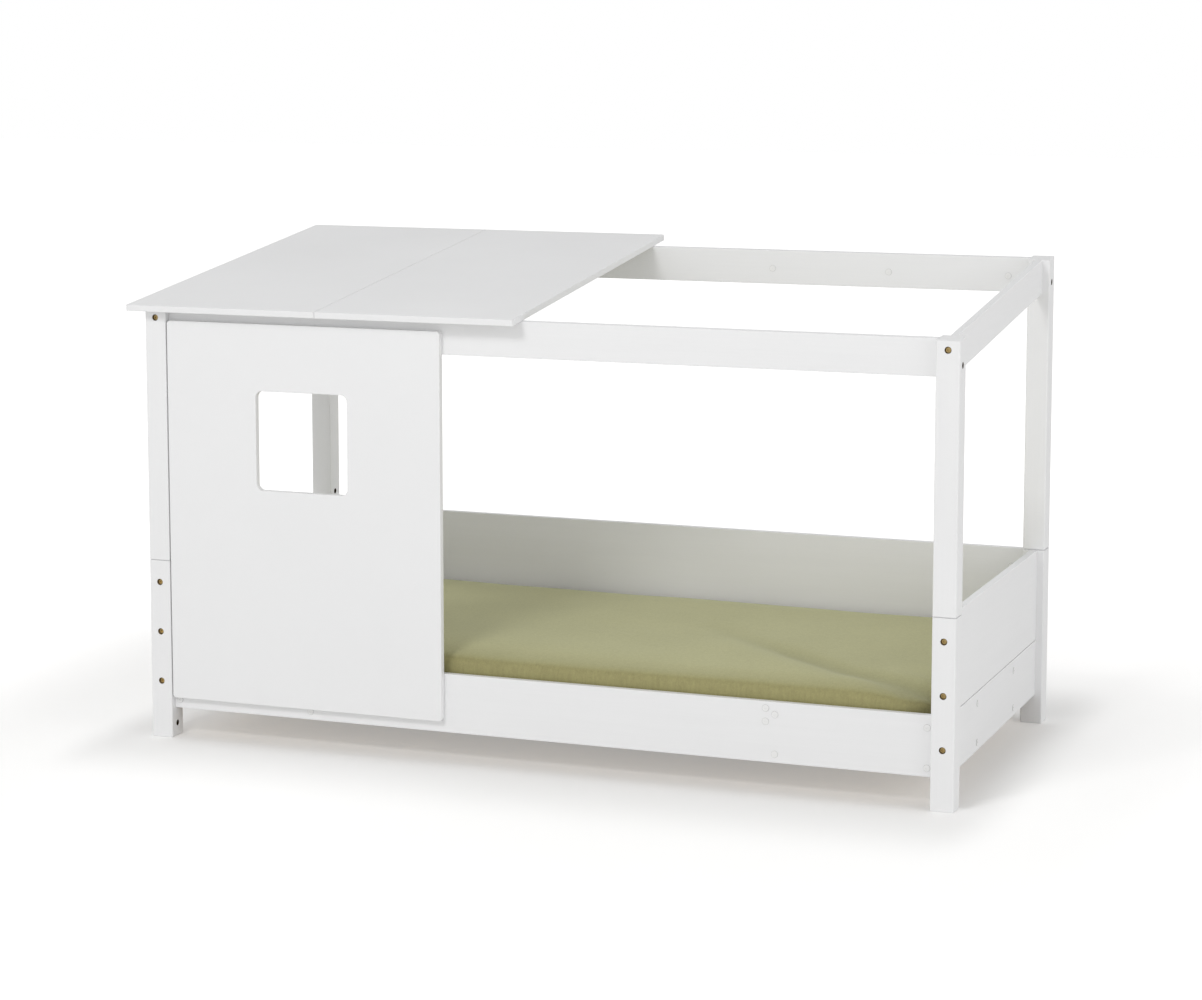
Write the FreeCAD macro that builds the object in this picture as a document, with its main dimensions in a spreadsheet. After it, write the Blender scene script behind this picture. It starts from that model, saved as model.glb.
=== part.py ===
"""A child's house frame bed with a lean-to top frame, a wall panel with a window and a part roof.

All lengths are millimetres. The origin is the middle of the whole bed's outer box, on the
floor: +X runs along the bed to its open end, +Y to the back and +Z up.
"""

import FreeCAD, Part
import math
import os
from types import SimpleNamespace

import Sketcher

DOC = FreeCAD.newDocument("house_frame_bed")
SHEET = DOC.addObject("Spreadsheet::Sheet", "dims")

DRIVING = {
    # the frame, outside to outside of its posts, round a 2000 x 900 mattress
    "bed_length": 2100,
    "bed_width": 990,
    "post_side": 57,
    "post_round": 3,
    "end_chamfer": 1.2,
    "joint_height": 459,
    "joint_groove": 1.5,
    "joint_groove_depth": 4,
    "front_height": 1099.4,
    "roof_slope": 6.8,
    # boards and rails
    "board_thick": 18,
    "board_round": 1.5,
    "rail_bottom": 75,
    "side_rail_height": 147,
    "end_low_height": 144.5,
    "board_gap": 2,
    "board_top": 457,
    "top_rail_height": 88.5,
    "end_top_rail_depth": 87.5,
    # wall panel and its window, from the left face of the posts and from the floor
    "panel_left": 60,
    "panel_right": 807.5,
    "panel_bottom": 105,
    "panel_top": 1071.5,
    "panel_corner": 9,
    "window_left": 307,
    "window_bottom": 653.5,
    "window_side": 250,
    "window_corner": 17,
    # roof boards
    "roof_over_end": 35,
    "roof_over_front": 37,
    "roof_over_back": 57,
    "roof_board_width": 524.4,
    "roof_gap": 1.2,
    "roof_board_thick": 16,
    "roof_corner": 4,
    # slatted base and mattress
    "ledge_bottom": 82,
    "ledge_height": 30,
    "ledge_depth": 28,
    "ledge_play": 1,
    "ledge_round": 2,
    "slat_width": 75,
    "slat_thick": 18,
    "slat_play": 3,
    "slat_round": 3,
    "field_play": 2,
    "strap_width": 25,
    "strap_thick": 1.2,
    "strap_in": 120,
    "strap_play": 6,
    "mattress_clear": 0.8,
    "mattress_length": 2000,
    "mattress_width": 900,
    "mattress_thick": 137,
    "mattress_corner": 45,
    "mattress_edge": 28,
    # long bolts through the posts and their barrel nuts in the boards
    "bolt_low": 146,
    "bolt_pitch": 128,
    "bolt_thick": 6,
    "bolt_hole": 7,
    "bolt_length": 90,
    "bolt_past_nut": 10,
    "bolt_head": 13.5,
    "bolt_head_height": 4,
    "bolt_socket": 6,
    "socket_share": 0.7,
    "bore_wide": 16.5,
    "bore_depth": 9,
    "y_bolt_drop": 25.2,
    "x_bolt_drop": 61.9,
    "barrel_wide": 9.8,
    "barrel_hole": 10,
    "barrel_length": 13.5,
    "barrel_in": 34,
    "barrel_depth": 16,
    # the joint between a lower and an upper post
    "cross_up": 33,
    "cross_hole": 15,
    "cross_depth": 42.5,
    "cross_nut_length": 28,
    "stud_thick": 8,
    "stud_hole": 9,
    "stud_hole_depth": 48,
    "insert_hole": 13,
    "insert_depth": 26,
    "joint_dowel_off": 16,
    # wooden dowels, cam fittings, caps and sleeve nuts
    "dowel_wide": 7.9,
    "dowel_hole": 8,
    "dowel_length": 35,
    "dowel_depth": 18,
    "cam_hole": 15,
    "cam_depth": 12.7,
    "cam_play": 0.4,
    "cam_in": 34,
    "cam_bolt_hole": 6.2,
    "cam_bolt_depth": 11,
    "cam_slot_length": 9,
    "cam_slot_width": 1.6,
    "cam_slot_depth": 2,
    "cap_hole": 8,
    "cap_hole_depth": 12,
    "cap_wide": 17,
    "cap_high": 1.2,
    "cap_round": 0.5,
    "cap_stem_length": 8,
    "cap_dimple": 4,
    "sleeve_length": 9,
    "sleeve_bore": 5.1,
    # countersunk wood screws
    "screw_thick": 4,
    "screw_hole": 4.2,
    "screw_head": 8,
    "screw_cone": 2.4,
    "screw_head_hole": 8.4,
    "screw_head_depth": 2.6,
    "screw_tip": 4,
    "screw_sunk": 0.1,
    "panel_pilot_depth": 12,
    "panel_screw_length": 29,
    "slat_pilot_depth": 18,
    "slat_screw_length": 34,
    # short machine bolts through the slat ledges and the brackets
    "short_bolt": 5,
    "short_bolt_hole": 5.5,
    "ledge_bolt_head": 9.5,
    "short_head_height": 3,
    "ledge_head_hole": 10,
    "ledge_head_depth": 4,
    "thread_in_sleeve": 8.5,
    # roof brackets and their pan-head screws
    "bracket_leg": 58,
    "bracket_arm": 32,
    "bracket_thick": 2,
    "bracket_width": 20,
    "bracket_drop": 47.5,
    "bracket_screw_in": 22,
    "bracket_screw_hole": 4.6,
    "bracket_bolt_length": 10.5,
    "bracket_bolt_head": 9,
    "short_socket": 3,
    "bracket_pilot": 4,
    "bracket_pilot_depth": 11,
    "pan_head": 7.2,
    "pan_head_height": 2.4,
    "pan_screw_length": 10.5,
}

# heights of the drilled holes above the floor, and places along the rails from their middle
CAM_LOW, CAM_HIGH = 128, 176
SIDE_DOWELS = (152, 208)
BACK_CAMS = (272, 408)
BACK_DOWELS = (308, 372)
END_LOW_DOWELS = (100, 192)
END_UP_DOWEL = 338
CAP_ROWS = (96, 192)
CAP_COLUMNS = (980, 610)
PANEL_PAIR_X = 587
PANEL_PAIR_Z = (174, 206)
END_CAP_X = 192
BRACKET_COLUMNS = (938, 620, 303)
TOP_DOWEL_STEP = 31
SLAT_COUNT = 14
PANEL_SCREWS_X = (180, 500, 700)
PANEL_SCREWS_LOW, PANEL_SCREWS_HIGH = 160, 1050


class Size:
    """A length with its value and the sheet expression that gives it."""

    def __init__(self, text, value):
        self.text = text
        self.value = value

    def __float__(self):
        return float(self.value)

    def __neg__(self):
        return Size(f"(-{self.text})", -self.value)

    def __add__(self, other):
        other = size(other)
        return Size(f"({self.text} + {other.text})", self.value + other.value)

    def __sub__(self, other):
        other = size(other)
        return Size(f"({self.text} - {other.text})", self.value - other.value)

    def __mul__(self, other):
        other = size(other)
        return Size(f"({self.text} * {other.text})", self.value * other.value)

    def __truediv__(self, other):
        other = size(other)
        return Size(f"({self.text} / {other.text})", self.value / other.value)

    def __radd__(self, other):
        return size(other) + self

    def __rsub__(self, other):
        return size(other) - self

    def __rmul__(self, other):
        return size(other) * self


def size(number):
    """A plain number as a Size."""
    return number if isinstance(number, Size) else Size(f"({number})", number)


def fill_sheet():
    """Write the driving dimensions into the sheet, one aliased cell each."""
    for row, (alias, number) in enumerate(DRIVING.items(), start=1):
        SHEET.set(f"A{row}", alias)
        SHEET.set(f"B{row}", str(number))
        SHEET.setAlias(f"B{row}", alias)
    DOC.recompute()


fill_sheet()
d = SimpleNamespace(**{name: Size(f"dims.{name}", number) for name, number in DRIVING.items()})
tilt = math.radians(DRIVING["roof_slope"])
rise = Size("tan(dims.roof_slope * 1 deg)", math.tan(tilt))
lean = Size("sin(dims.roof_slope * 1 deg)", math.sin(tilt))
level = Size("cos(dims.roof_slope * 1 deg)", math.cos(tilt))
half_post = d.post_side / 2
half_board = d.board_thick / 2
inset = (d.post_side - d.board_thick) / 2
left = -(d.bed_length - d.roof_over_end) / 2
right = left + d.bed_length
middle_x = left + d.bed_length / 2
front = -(d.bed_width + d.roof_over_back - d.roof_over_front) / 2
back = front + d.bed_width
middle_y = front + d.bed_width / 2
rail_length = d.bed_length - 2 * d.post_side
end_length = d.bed_width - 2 * d.post_side
slat_bottom = d.ledge_bottom + d.ledge_height
mattress_bottom = slat_bottom + d.slat_thick + d.strap_thick + d.mattress_clear

NODES = {}
Z_AXIS = FreeCAD.Vector(0, 0, 1)
# face of a body: its origin plane, the side of the plane it is on, and whether a cut is reversed
FACES = {
    "front": ("XZ_Plane", 1, False),
    "back": ("XZ_Plane", -1, True),
    "right": ("YZ_Plane", 1, False),
    "left": ("YZ_Plane", -1, True),
    "top": ("XY_Plane", 1, False),
    "bottom": ("XY_Plane", -1, True),
}


def roof_line(y):
    """Height of the roof's underside at a place across the bed."""
    return d.front_height + rise * (y - front)


# ---------------------------------------------------------------- sketches and features


def origin_part(body, role):
    """One of a body's own origin planes or axes."""
    return next(part for part in body.Origin.OriginFeatures if part.Role == role)


def new_sketch(body, face, distance, name):
    """A sketch on one of the body's faces, that far from the body's origin."""
    role, side, _ = FACES[face]
    sketch = body.newObject("Sketcher::SketchObject", name)
    sketch.AttachmentSupport = [(origin_part(body, role), "")]
    sketch.MapMode = "FlatFace"
    sketch.setExpression("AttachmentOffset.Base.z", (side * size(distance)).text)
    return sketch


def pin_point(sketch, geometry, vertex, u, v):
    """Hold a point of a sketch at u across and v up from its origin."""
    for kind, axis, place in (("DistanceX", -2, size(u)), ("DistanceY", -1, size(v))):
        if abs(float(place)) < 1e-9:
            sketch.addConstraint(Sketcher.Constraint("PointOnObject", geometry, vertex, axis))
            continue
        index = sketch.addConstraint(
            Sketcher.Constraint(kind, -1, 1, geometry, vertex, float(place))
        )
        sketch.setExpression(f"Constraints[{index}]", place.text)


def polygon(sketch, points):
    """Draw a closed outline of straight lines through the points."""
    corners = [FreeCAD.Vector(float(u), float(v), 0) for u, v in points]
    first, count = sketch.GeometryCount, len(corners)
    for index, corner in enumerate(corners):
        sketch.addGeometry(Part.LineSegment(corner, corners[(index + 1) % count]), False)
    for index, (u, v) in enumerate(points):
        line, following = first + index, first + (index + 1) % count
        sketch.addConstraint(Sketcher.Constraint("Coincident", line, 2, following, 1))
        pin_point(sketch, line, 1, u, v)


def rectangle(sketch, u, v, width, height):
    """Draw a rectangle from its lower left corner."""
    u, v = size(u), size(v)
    polygon(sketch, [(u, v), (u + width, v), (u + width, v + height), (u, v + height)])


def circles(sketch, diameter, centres):
    """Draw equal circles round the centres."""
    radius = float(diameter) / 2
    for index, (u, v) in enumerate(centres):
        centre = FreeCAD.Vector(float(u), float(v), 0)
        sketch.addGeometry(Part.Circle(centre, Z_AXIS, radius), False)
        constraint = sketch.addConstraint(
            Sketcher.Constraint("Diameter", index, float(diameter))
        )
        sketch.setExpression(f"Constraints[{constraint}]", size(diameter).text)
        pin_point(sketch, index, 3, u, v)


def new_body(label):
    """An empty body for one sub-part."""
    body = DOC.addObject("PartDesign::Body", label)
    body.Label = label
    return body


def pad(body, sketch, length, both_ways=False, reverse=False):
    """Thicken a sketch into the body's solid."""
    feature = body.newObject("PartDesign::Pad", "pad")
    feature.Profile = sketch
    feature.Midplane = both_ways
    feature.Reversed = reverse
    feature.setExpression("Length", size(length).text)
    body.Tip = feature
    DOC.recompute()
    return feature


def cut(body, face, sketch, depth, name):
    """Cut a sketch into the body to a depth, and make sure that it removes something."""
    before = body.Shape.Volume
    feature = body.newObject("PartDesign::Pocket", name)
    feature.Profile = sketch
    feature.Reversed = FACES[face][2]
    feature.setExpression("Length", size(depth).text)
    body.Tip = feature
    DOC.recompute()
    if body.Shape.Volume > before - 1:
        raise RuntimeError(f"{body.Label}: {name} cuts nothing")
    return feature


def drill(body, face, distance, diameter, depth, centres, name):
    """Drill equal holes square into a face of the body."""
    sketch = new_sketch(body, face, distance, f"{name}_sketch")
    circles(sketch, diameter, centres)
    return cut(body, face, sketch, depth, name)


def edges_where(body, test):
    """Names of the edges of the body's solid that pass a test."""
    return [f"Edge{i}" for i, edge in enumerate(body.Shape.Edges, start=1) if test(edge)]


def soften(body, kind, amount, test, name):
    """Round or chamfer the edges that pass a test."""
    base, names = body.Tip, edges_where(body, test)
    feature = body.newObject(f"PartDesign::{kind}", name)
    feature.Base = (base, names)
    feature.setExpression("Radius" if kind == "Fillet" else "Size", size(amount).text)
    body.Tip = feature
    DOC.recompute()
    return feature


def lies_along(axis):
    """A test for straight edges that run along one axis."""

    def test(edge):
        if edge.Curve.TypeId != "Part::GeomLine":
            return False
        direction = edge.tangentAt(edge.FirstParameter)
        return abs(direction[axis]) > 0.999

    return test


def mirror_ends(body, features):
    """Repeat end drillings at a board's other end."""
    mirrored = body.newObject("PartDesign::Mirrored", "other_end")
    mirrored.Originals = features
    mirrored.MirrorPlane = (origin_part(body, "YZ_Plane"), [""])
    body.Tip = mirrored
    DOC.recompute()


def place(item, x, y, z, turn=0, axis=Z_AXIS):
    """Put a sub-part at its place, turned by so many degrees about an axis."""
    rotation = FreeCAD.Rotation(axis, turn)
    item.Placement = FreeCAD.Placement(
        FreeCAD.Vector(float(x), float(y), float(z)), rotation
    )
    for letter, value in (("x", x), ("y", y), ("z", z)):
        item.setExpression(f".Placement.Base.{letter}", size(value).text)


def keep(item):
    """Count a sub-part among those that are written out."""
    NODES[item.Label] = item
    return item


# ---------------------------------------------------------------- posts

# corner name: the post's x, y and its turn, and the side that its inner face is on
CORNERS = {
    "front_left": (left + half_post, front + half_post, 0, 1),
    "front_right": (right - half_post, front + half_post, 0, -1),
    "rear_left": (left + half_post, back - half_post, 180, -1),
    "rear_right": (right - half_post, back - half_post, 180, 1),
}


def post_blank(label, outer_height, inner_height):
    """A square post with its foot at the origin; its outer face looks to -Y."""
    body = new_body(label)
    sketch = new_sketch(body, "right", 0, "side_outline")
    outline = [
        (-half_post, 0),
        (half_post, 0),
        (half_post, inner_height),
        (-half_post, outer_height),
    ]
    polygon(sketch, outline)
    pad(body, sketch, d.post_side, both_ways=True)
    soften(body, "Fillet", d.post_round, lies_along(2), "long_rounds")
    upright = lies_along(2)
    soften(body, "Chamfer", d.end_chamfer, lambda edge: not upright(edge), "end_chamfers")
    return body


def post_foot_holes(body, inner):
    """The cross hole and the stud hole that every post has at its lower end."""
    cross = [(0, d.cross_up)]
    drill(body, inner, half_post, d.cross_hole, d.cross_depth, cross, "cross_hole")
    drill(body, "bottom", 0, d.stud_hole, d.stud_hole_depth, [(0, 0)], "stud_hole")


def joint_groove(body):
    """A shadow groove round the top of a lower post, where the upper post stands on it."""
    sketch = new_sketch(body, "top", d.joint_height, "groove_outline")
    wide, core = d.post_side + 2, d.post_side - 2 * d.joint_groove_depth
    for side in (wide, core):
        rectangle(sketch, -side / 2, -side / 2, side, side)
    cut(body, "top", sketch, d.joint_groove, "joint_groove")


def joint_dowels():
    """The two dowel places of a post joint, at opposite corners."""
    off = d.joint_dowel_off
    return [(off, off), (-off, -off)]


def lower_post(corner):
    """A lower post: bolts from outside, rail fittings on its two inner faces."""
    x, y, turn, side = CORNERS[corner]
    inner = "right" if side > 0 else "left"
    body = post_blank(f"{corner}_lower_post", d.joint_height, d.joint_height)
    joint_groove(body)
    post_foot_holes(body, inner)

    first = [(0, d.bolt_low)]
    hole = drill(body, "front", half_post, d.bolt_hole, d.post_side, first, "bolt_hole")
    bore = drill(body, "front", half_post, d.bore_wide, d.bore_depth, first, "head_bore")
    row = body.newObject("PartDesign::LinearPattern", "bolt_row")
    row.Originals = [hole, bore]
    row.Direction = (origin_part(body, "Z_Axis"), [""])
    row.setExpression("Length", (2 * d.bolt_pitch).text)
    row.Occurrences = 3
    body.Tip = row
    DOC.recompute()

    cams, dowels = [CAM_LOW, CAM_HIGH], list(SIDE_DOWELS)
    if turn:
        cams += BACK_CAMS
        dowels += BACK_DOWELS
    cam_places = [(0, up) for up in cams]
    dowel_places = [(0, up) for up in dowels]
    end_places = [(0, up) for up in (*END_LOW_DOWELS, END_UP_DOWEL)]
    depth = d.cam_bolt_depth
    drill(body, inner, half_post, d.cam_bolt_hole, depth, cam_places, "cam_bolt_holes")
    drill(body, inner, half_post, d.dowel_hole, d.dowel_depth, dowel_places, "rail_dowels")
    drill(body, "back", half_post, d.dowel_hole, d.dowel_depth, end_places, "end_dowels")

    top = d.joint_height
    drill(body, "top", top, d.insert_hole, d.insert_depth, [(0, 0)], "insert_hole")
    drill(body, "top", top, d.dowel_hole, d.dowel_depth, joint_dowels(), "joint_dowels")
    place(body, x, y, 0, turn)
    return keep(body)


def upper_post(corner):
    """An upper post, cut along the roof line at its top."""
    x, y, turn, side = CORNERS[corner]
    inner = "right" if side > 0 else "left"
    outward = 1 if turn else -1
    centre = roof_line(y) - d.joint_height
    climb = rise * half_post * outward
    body = post_blank(f"{corner}_upper_post", centre + climb, centre - climb)
    post_foot_holes(body, inner)

    y_bolt = [(0, centre - d.y_bolt_drop)]
    x_bolt = [(0, centre - d.x_bolt_drop)]
    outer = "left" if inner == "right" else "right"
    drill(body, "front", half_post, d.bolt_hole, d.post_side, y_bolt, "end_rail_bolt_hole")
    drill(body, "front", half_post, d.bore_wide, d.bore_depth, y_bolt, "end_rail_bolt_bore")
    drill(body, outer, half_post, d.bolt_hole, d.post_side, x_bolt, "long_rail_bolt_hole")
    drill(body, outer, half_post, d.bore_wide, d.bore_depth, x_bolt, "long_rail_bolt_bore")

    end_dowel = [(0, centre - d.y_bolt_drop - TOP_DOWEL_STEP)]
    long_dowel = [(0, centre - d.x_bolt_drop + TOP_DOWEL_STEP)]
    depth = d.dowel_depth
    drill(body, "back", half_post, d.dowel_hole, depth, end_dowel, "end_rail_dowel")
    drill(body, inner, half_post, d.dowel_hole, depth, long_dowel, "long_rail_dowel")
    drill(body, "bottom", 0, d.dowel_hole, depth, joint_dowels(), "joint_dowels")
    place(body, x, y, d.joint_height, turn)
    return keep(body)


# ---------------------------------------------------------------- boards and rails

# side of the bed: the board's outer face middle in x and y, and its turn
SIDES = {
    "front": (middle_x, front + inset, 0),
    "rear": (middle_x, back - inset, 180),
    "left": (left + inset, middle_y, -90),
    "right": (right - inset, middle_y, 90),
}


def board_blank(label, length, outline):
    """A board along X with its outer face on y = 0; the outline is its cross-section."""
    body = new_body(label)
    sketch = new_sketch(body, "right", 0, "cross_section")
    polygon(sketch, outline)
    pad(body, sketch, length, both_ways=True)
    soften(body, "Fillet", d.board_round, lies_along(0), "long_rounds")
    return body


def plain_outline(height):
    """The cross-section of a board with square edges."""
    return [(0, 0), (d.board_thick, 0), (d.board_thick, height), (0, height)]


def end_bolts(body, face, end, heights, barrel_side):
    """Bolt holes into one end of a board, with the barrel nut holes that cross them."""
    ends = [(half_board, up) for up in heights]
    barrels = [(barrel_side * (end - d.barrel_in), up) for up in heights]
    reach = d.barrel_in + d.bolt_past_nut
    holes = drill(body, face, end, d.bolt_hole, reach, ends, f"{face}_bolt_holes")
    thick, deep = d.board_thick, d.barrel_depth
    nuts = drill(body, "back", thick, d.barrel_hole, deep, barrels, f"{face}_barrel_holes")
    return [holes, nuts]


def end_dowels(body, face, end, heights):
    """Dowel holes into one end of a board."""
    places = [(half_board, up) for up in heights]
    return drill(body, face, end, d.dowel_hole, d.dowel_depth, places, f"{face}_dowels")


def end_cams(body, end, heights):
    """Cam fittings in a board's inner face near its right end, with their bolt holes."""
    ends = [(half_board, up) for up in heights]
    cams = [(end - d.cam_in, up) for up in heights]
    bolts = drill(body, "right", end, d.cam_bolt_hole, d.cam_in, ends, "cam_bolt_holes")
    seats = drill(body, "back", d.board_thick, d.cam_hole, d.cam_depth, cams, "cam_holes")
    return [bolts, seats]


def side_rail(side):
    """A long side rail on cam fittings, drilled for the slat ledge and for closing caps."""
    x, y, turn = SIDES[side]
    base = d.rail_bottom
    end = rail_length / 2
    body = board_blank(f"{side}_side_rail", rail_length, plain_outline(d.side_rail_height))
    features = end_cams(body, end, [CAM_LOW - base, CAM_HIGH - base])
    features.append(end_dowels(body, "right", end, [up - base for up in SIDE_DOWELS]))

    low, high = (up - base for up in CAP_ROWS)
    through = [(size(column), low) for column in CAP_COLUMNS]
    closed = [(size(column), high) for column in CAP_COLUMNS]
    closed += [(size(PANEL_PAIR_X), up - base) for up in PANEL_PAIR_Z]
    thick, hole = d.board_thick, d.cap_hole
    features.append(drill(body, "front", 0, hole, thick, through, "ledge_bolt_holes"))
    features.append(drill(body, "front", 0, hole, d.cap_hole_depth, closed, "cap_holes"))
    mirror_ends(body, features)
    if side == "front":
        panel_screw_holes(body, PANEL_SCREWS_LOW - base)
    place(body, x, y, base, turn)
    return keep(body)


def panel_screw_holes(body, up):
    """Screw holes from inside through a front rail, for the wall panel."""
    places = [(left + along - middle_x, up) for along in PANEL_SCREWS_X]
    thick = d.board_thick
    wide, deep = d.screw_head_hole, d.screw_head_depth
    drill(body, "back", thick, d.screw_hole, thick, places, "panel_screw_holes")
    drill(body, "back", thick, wide, deep, places, "panel_screw_heads")


def rear_board():
    """The high board behind the mattress, above the rear side rail."""
    x, y, turn = SIDES["rear"]
    base = d.rail_bottom + d.side_rail_height + d.board_gap
    end = rail_length / 2
    body = board_blank("rear_upper_board", rail_length, plain_outline(d.board_top - base))
    features = end_cams(body, end, [up - base for up in BACK_CAMS])
    features.append(end_dowels(body, "right", end, [up - base for up in BACK_DOWELS]))
    mirror_ends(body, features)
    place(body, x, y, base, turn)
    return keep(body)


def end_board(side, level):
    """A board across one end of the bed, lower or upper, on bolts and dowels."""
    x, y, turn = SIDES[side]
    end = end_length / 2
    low = level == "lower"
    base = d.rail_bottom if low else d.rail_bottom + d.end_low_height + d.board_gap
    height = d.end_low_height if low else d.board_top - base
    first = d.bolt_low - base
    bolts = [first] if low else [first + d.bolt_pitch, first + 2 * d.bolt_pitch]
    dowels = END_LOW_DOWELS if low else (END_UP_DOWEL,)
    body = board_blank(f"{side}_{level}_end_board", end_length, plain_outline(height))
    features = end_bolts(body, "right", end, bolts, 1)
    features.append(end_dowels(body, "right", end, [up - base for up in dowels]))
    if low:
        places = [(size(END_CAP_X), up - base) for up in CAP_ROWS]
        depth = d.cap_hole_depth
        features.append(drill(body, "front", 0, d.cap_hole, depth, places, "cap_holes"))
    mirror_ends(body, features)
    place(body, x, y, base, turn)
    return keep(body)


def top_rail_base(side):
    """Height of a long top rail's lower edge, which is the same number below the roof."""
    y = front + inset if side == "front" else back - inset - d.board_thick
    return roof_line(y) - d.top_rail_height


def long_top_rail(side):
    """The front or rear top rail, its top edge planed to the roof's slope."""
    x, y, turn = SIDES[side]
    base = top_rail_base(side)
    end = rail_length / 2
    step = rise * d.board_thick
    outer, inner = (size(0), step) if side == "front" else (step, size(0))
    height, thick = d.top_rail_height, d.board_thick
    outline = [(0, 0), (thick, 0), (thick, height + inner), (0, height + outer)]
    body = board_blank(f"{side}_top_rail", rail_length, outline)

    post_y = CORNERS[f"{side}_left"][1]
    bolt = roof_line(post_y) - d.x_bolt_drop - base
    features = end_bolts(body, "right", end, [bolt], 1)
    features.append(end_dowels(body, "right", end, [bolt + TOP_DOWEL_STEP]))
    up = height + inner - d.bracket_drop
    places = [(size(column), up) for column in BRACKET_COLUMNS]
    depth = d.cap_hole_depth
    features.append(drill(body, "back", thick, d.cap_hole, depth, places, "bracket_holes"))
    mirror_ends(body, features)
    if side == "front":
        panel_screw_holes(body, PANEL_SCREWS_HIGH - base)
    place(body, x, y, base, turn)
    return keep(body)


def end_top_rail(side):
    """A sloping top rail across one end, between the front and rear upper posts."""
    x, y, turn = SIDES[side]
    climb = 1 if turn > 0 else -1
    end = end_length / 2
    half_rise = rise * end * climb
    depth = d.end_top_rail_depth
    base = roof_line(middle_y) - depth
    body = new_body(f"{side}_top_rail")
    sketch = new_sketch(body, "front", 0, "side_outline")
    outline = [
        (-end, -half_rise),
        (end, half_rise),
        (end, half_rise + depth),
        (-end, depth - half_rise),
    ]
    polygon(sketch, outline)
    pad(body, sketch, d.board_thick, reverse=True)
    soften(body, "Fillet", d.board_round, sloping_edge, "long_rounds")

    ends = {1: ("right", "rear" if climb > 0 else "front")}
    ends[-1] = ("left", "front" if climb > 0 else "rear")
    for hand, (face, row) in ends.items():
        post_y = CORNERS[f"{row}_left"][1]
        bolt = roof_line(post_y) - d.y_bolt_drop - base
        end_bolts(body, face, end, [bolt], hand)
        end_dowels(body, face, end, [bolt - TOP_DOWEL_STEP])
    place(body, x, y, base, turn)
    return keep(body)


def sloping_edge(edge):
    """True for a long edge of a sloping rail."""
    return edge.Length > float(end_length) * 0.9


# ---------------------------------------------------------------- wall panel and roof


def wall_panel():
    """The wall panel on the front rails' faces, with a square window."""
    width = d.panel_right - d.panel_left
    height = d.panel_top - d.panel_bottom
    thick = d.board_thick
    body = new_body("wall_panel")
    sketch = new_sketch(body, "front", 0, "panel_outline")
    rectangle(sketch, 0, 0, width, height)
    pad(body, sketch, thick, reverse=True)
    soften(body, "Fillet", d.panel_corner, lies_along(1), "corners")

    window = new_sketch(body, "front", 0, "window_outline")
    window_left = d.window_left - d.panel_left
    window_bottom = d.window_bottom - d.panel_bottom
    rectangle(window, window_left, window_bottom, d.window_side, d.window_side)
    cut(body, "front", window, thick, "window")

    def window_corner(edge):
        margin = 2 * float(d.panel_corner)
        inside = margin < edge.CenterOfMass.x < float(width) - margin
        return inside and lies_along(1)(edge)

    soften(body, "Fillet", d.window_corner, window_corner, "window_corners")
    across = lies_along(1)
    soften(body, "Fillet", d.board_round, lambda edge: not across(edge), "face_rounds")

    low, high = (size(up) - d.panel_bottom for up in (PANEL_SCREWS_LOW, PANEL_SCREWS_HIGH))
    places = [(along - d.panel_left, up) for along in PANEL_SCREWS_X for up in (low, high)]
    drill(body, "back", thick, d.screw_thick, d.panel_pilot_depth, places, "screw_pilots")
    place(body, left + d.panel_left, front + inset - thick, d.panel_bottom)
    return keep(body)


# the roof's low edge at its underside, and its length up the slope
LOW_EDGE = front - d.roof_over_front + d.roof_board_thick * lean
ROOF_LENGTH = (back + d.roof_over_back - LOW_EDGE) / level
SEAM_DOWEL_SHARES = (0.15, 0.5, 0.85)


def roof_dowels():
    """Places of the dowels along the joint between the roof boards."""
    middle = d.roof_board_thick / 2
    return [(ROOF_LENGTH * share, middle) for share in SEAM_DOWEL_SHARES]


def roof_board(side):
    """One of the two roof boards, lying on the posts and the top rails."""
    width, thick = d.roof_board_width, d.roof_board_thick
    body = new_body(f"{side}_roof_board")
    sketch = new_sketch(body, "top", 0, "board_outline")
    rectangle(sketch, -width / 2, 0, width, ROOF_LENGTH)
    pad(body, sketch, thick)
    outer = -1 if side == "left" else 1
    upright = lies_along(2)

    def outer_corner(edge):
        return upright(edge) and edge.CenterOfMass.x * outer > 0

    soften(body, "Fillet", d.roof_corner, outer_corner, "corners")
    soften(body, "Fillet", d.board_round, lambda edge: not upright(edge), "face_rounds")
    seam = "right" if side == "left" else "left"
    depth = d.dowel_depth
    drill(body, seam, width / 2, d.dowel_hole, depth, roof_dowels(), "seam_dowels")

    x = roof_board_x(side)
    places = [(column - x, along) for column, along in arm_screws() if in_board(column, x)]
    pilot, deep = d.bracket_pilot, d.bracket_pilot_depth
    drill(body, "bottom", 0, pilot, deep, places, "bracket_pilots")
    slope, x_axis = DRIVING["roof_slope"], FreeCAD.Vector(1, 0, 0)
    place(body, x, LOW_EDGE, roof_line(LOW_EDGE), slope, x_axis)
    return keep(body)


def roof_board_x(side):
    """Middle of a roof board along the bed."""
    half = d.roof_board_width / 2
    step = half if side == "left" else 3 * half + d.roof_gap
    return left - d.roof_over_end + step


def in_board(column, x):
    """True if a place along the bed is under the board whose middle is x."""
    return abs(float(column) - float(x)) < float(d.roof_board_width) / 2


def arm_screws():
    """Places of the bracket screws on the roof: along the bed, and up its slope."""
    front_screw = inner_face("front") + d.bracket_screw_in
    rear_screw = inner_face("rear") - d.bracket_screw_in
    rows = [(y - LOW_EDGE) / level for y in (front_screw, rear_screw)]
    return [(middle_x - column, along) for column in BRACKET_COLUMNS for along in rows]


# ---------------------------------------------------------------- slatted base and mattress

FIELD = rail_length - 2 * d.field_play


def slat_places():
    """Middles of the slats along the bed."""
    first = left + d.post_side + d.field_play + d.slat_width / 2
    pitch = (FIELD - d.slat_width) / (SLAT_COUNT - 1)
    return [first + pitch * index for index in range(SLAT_COUNT)]


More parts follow.
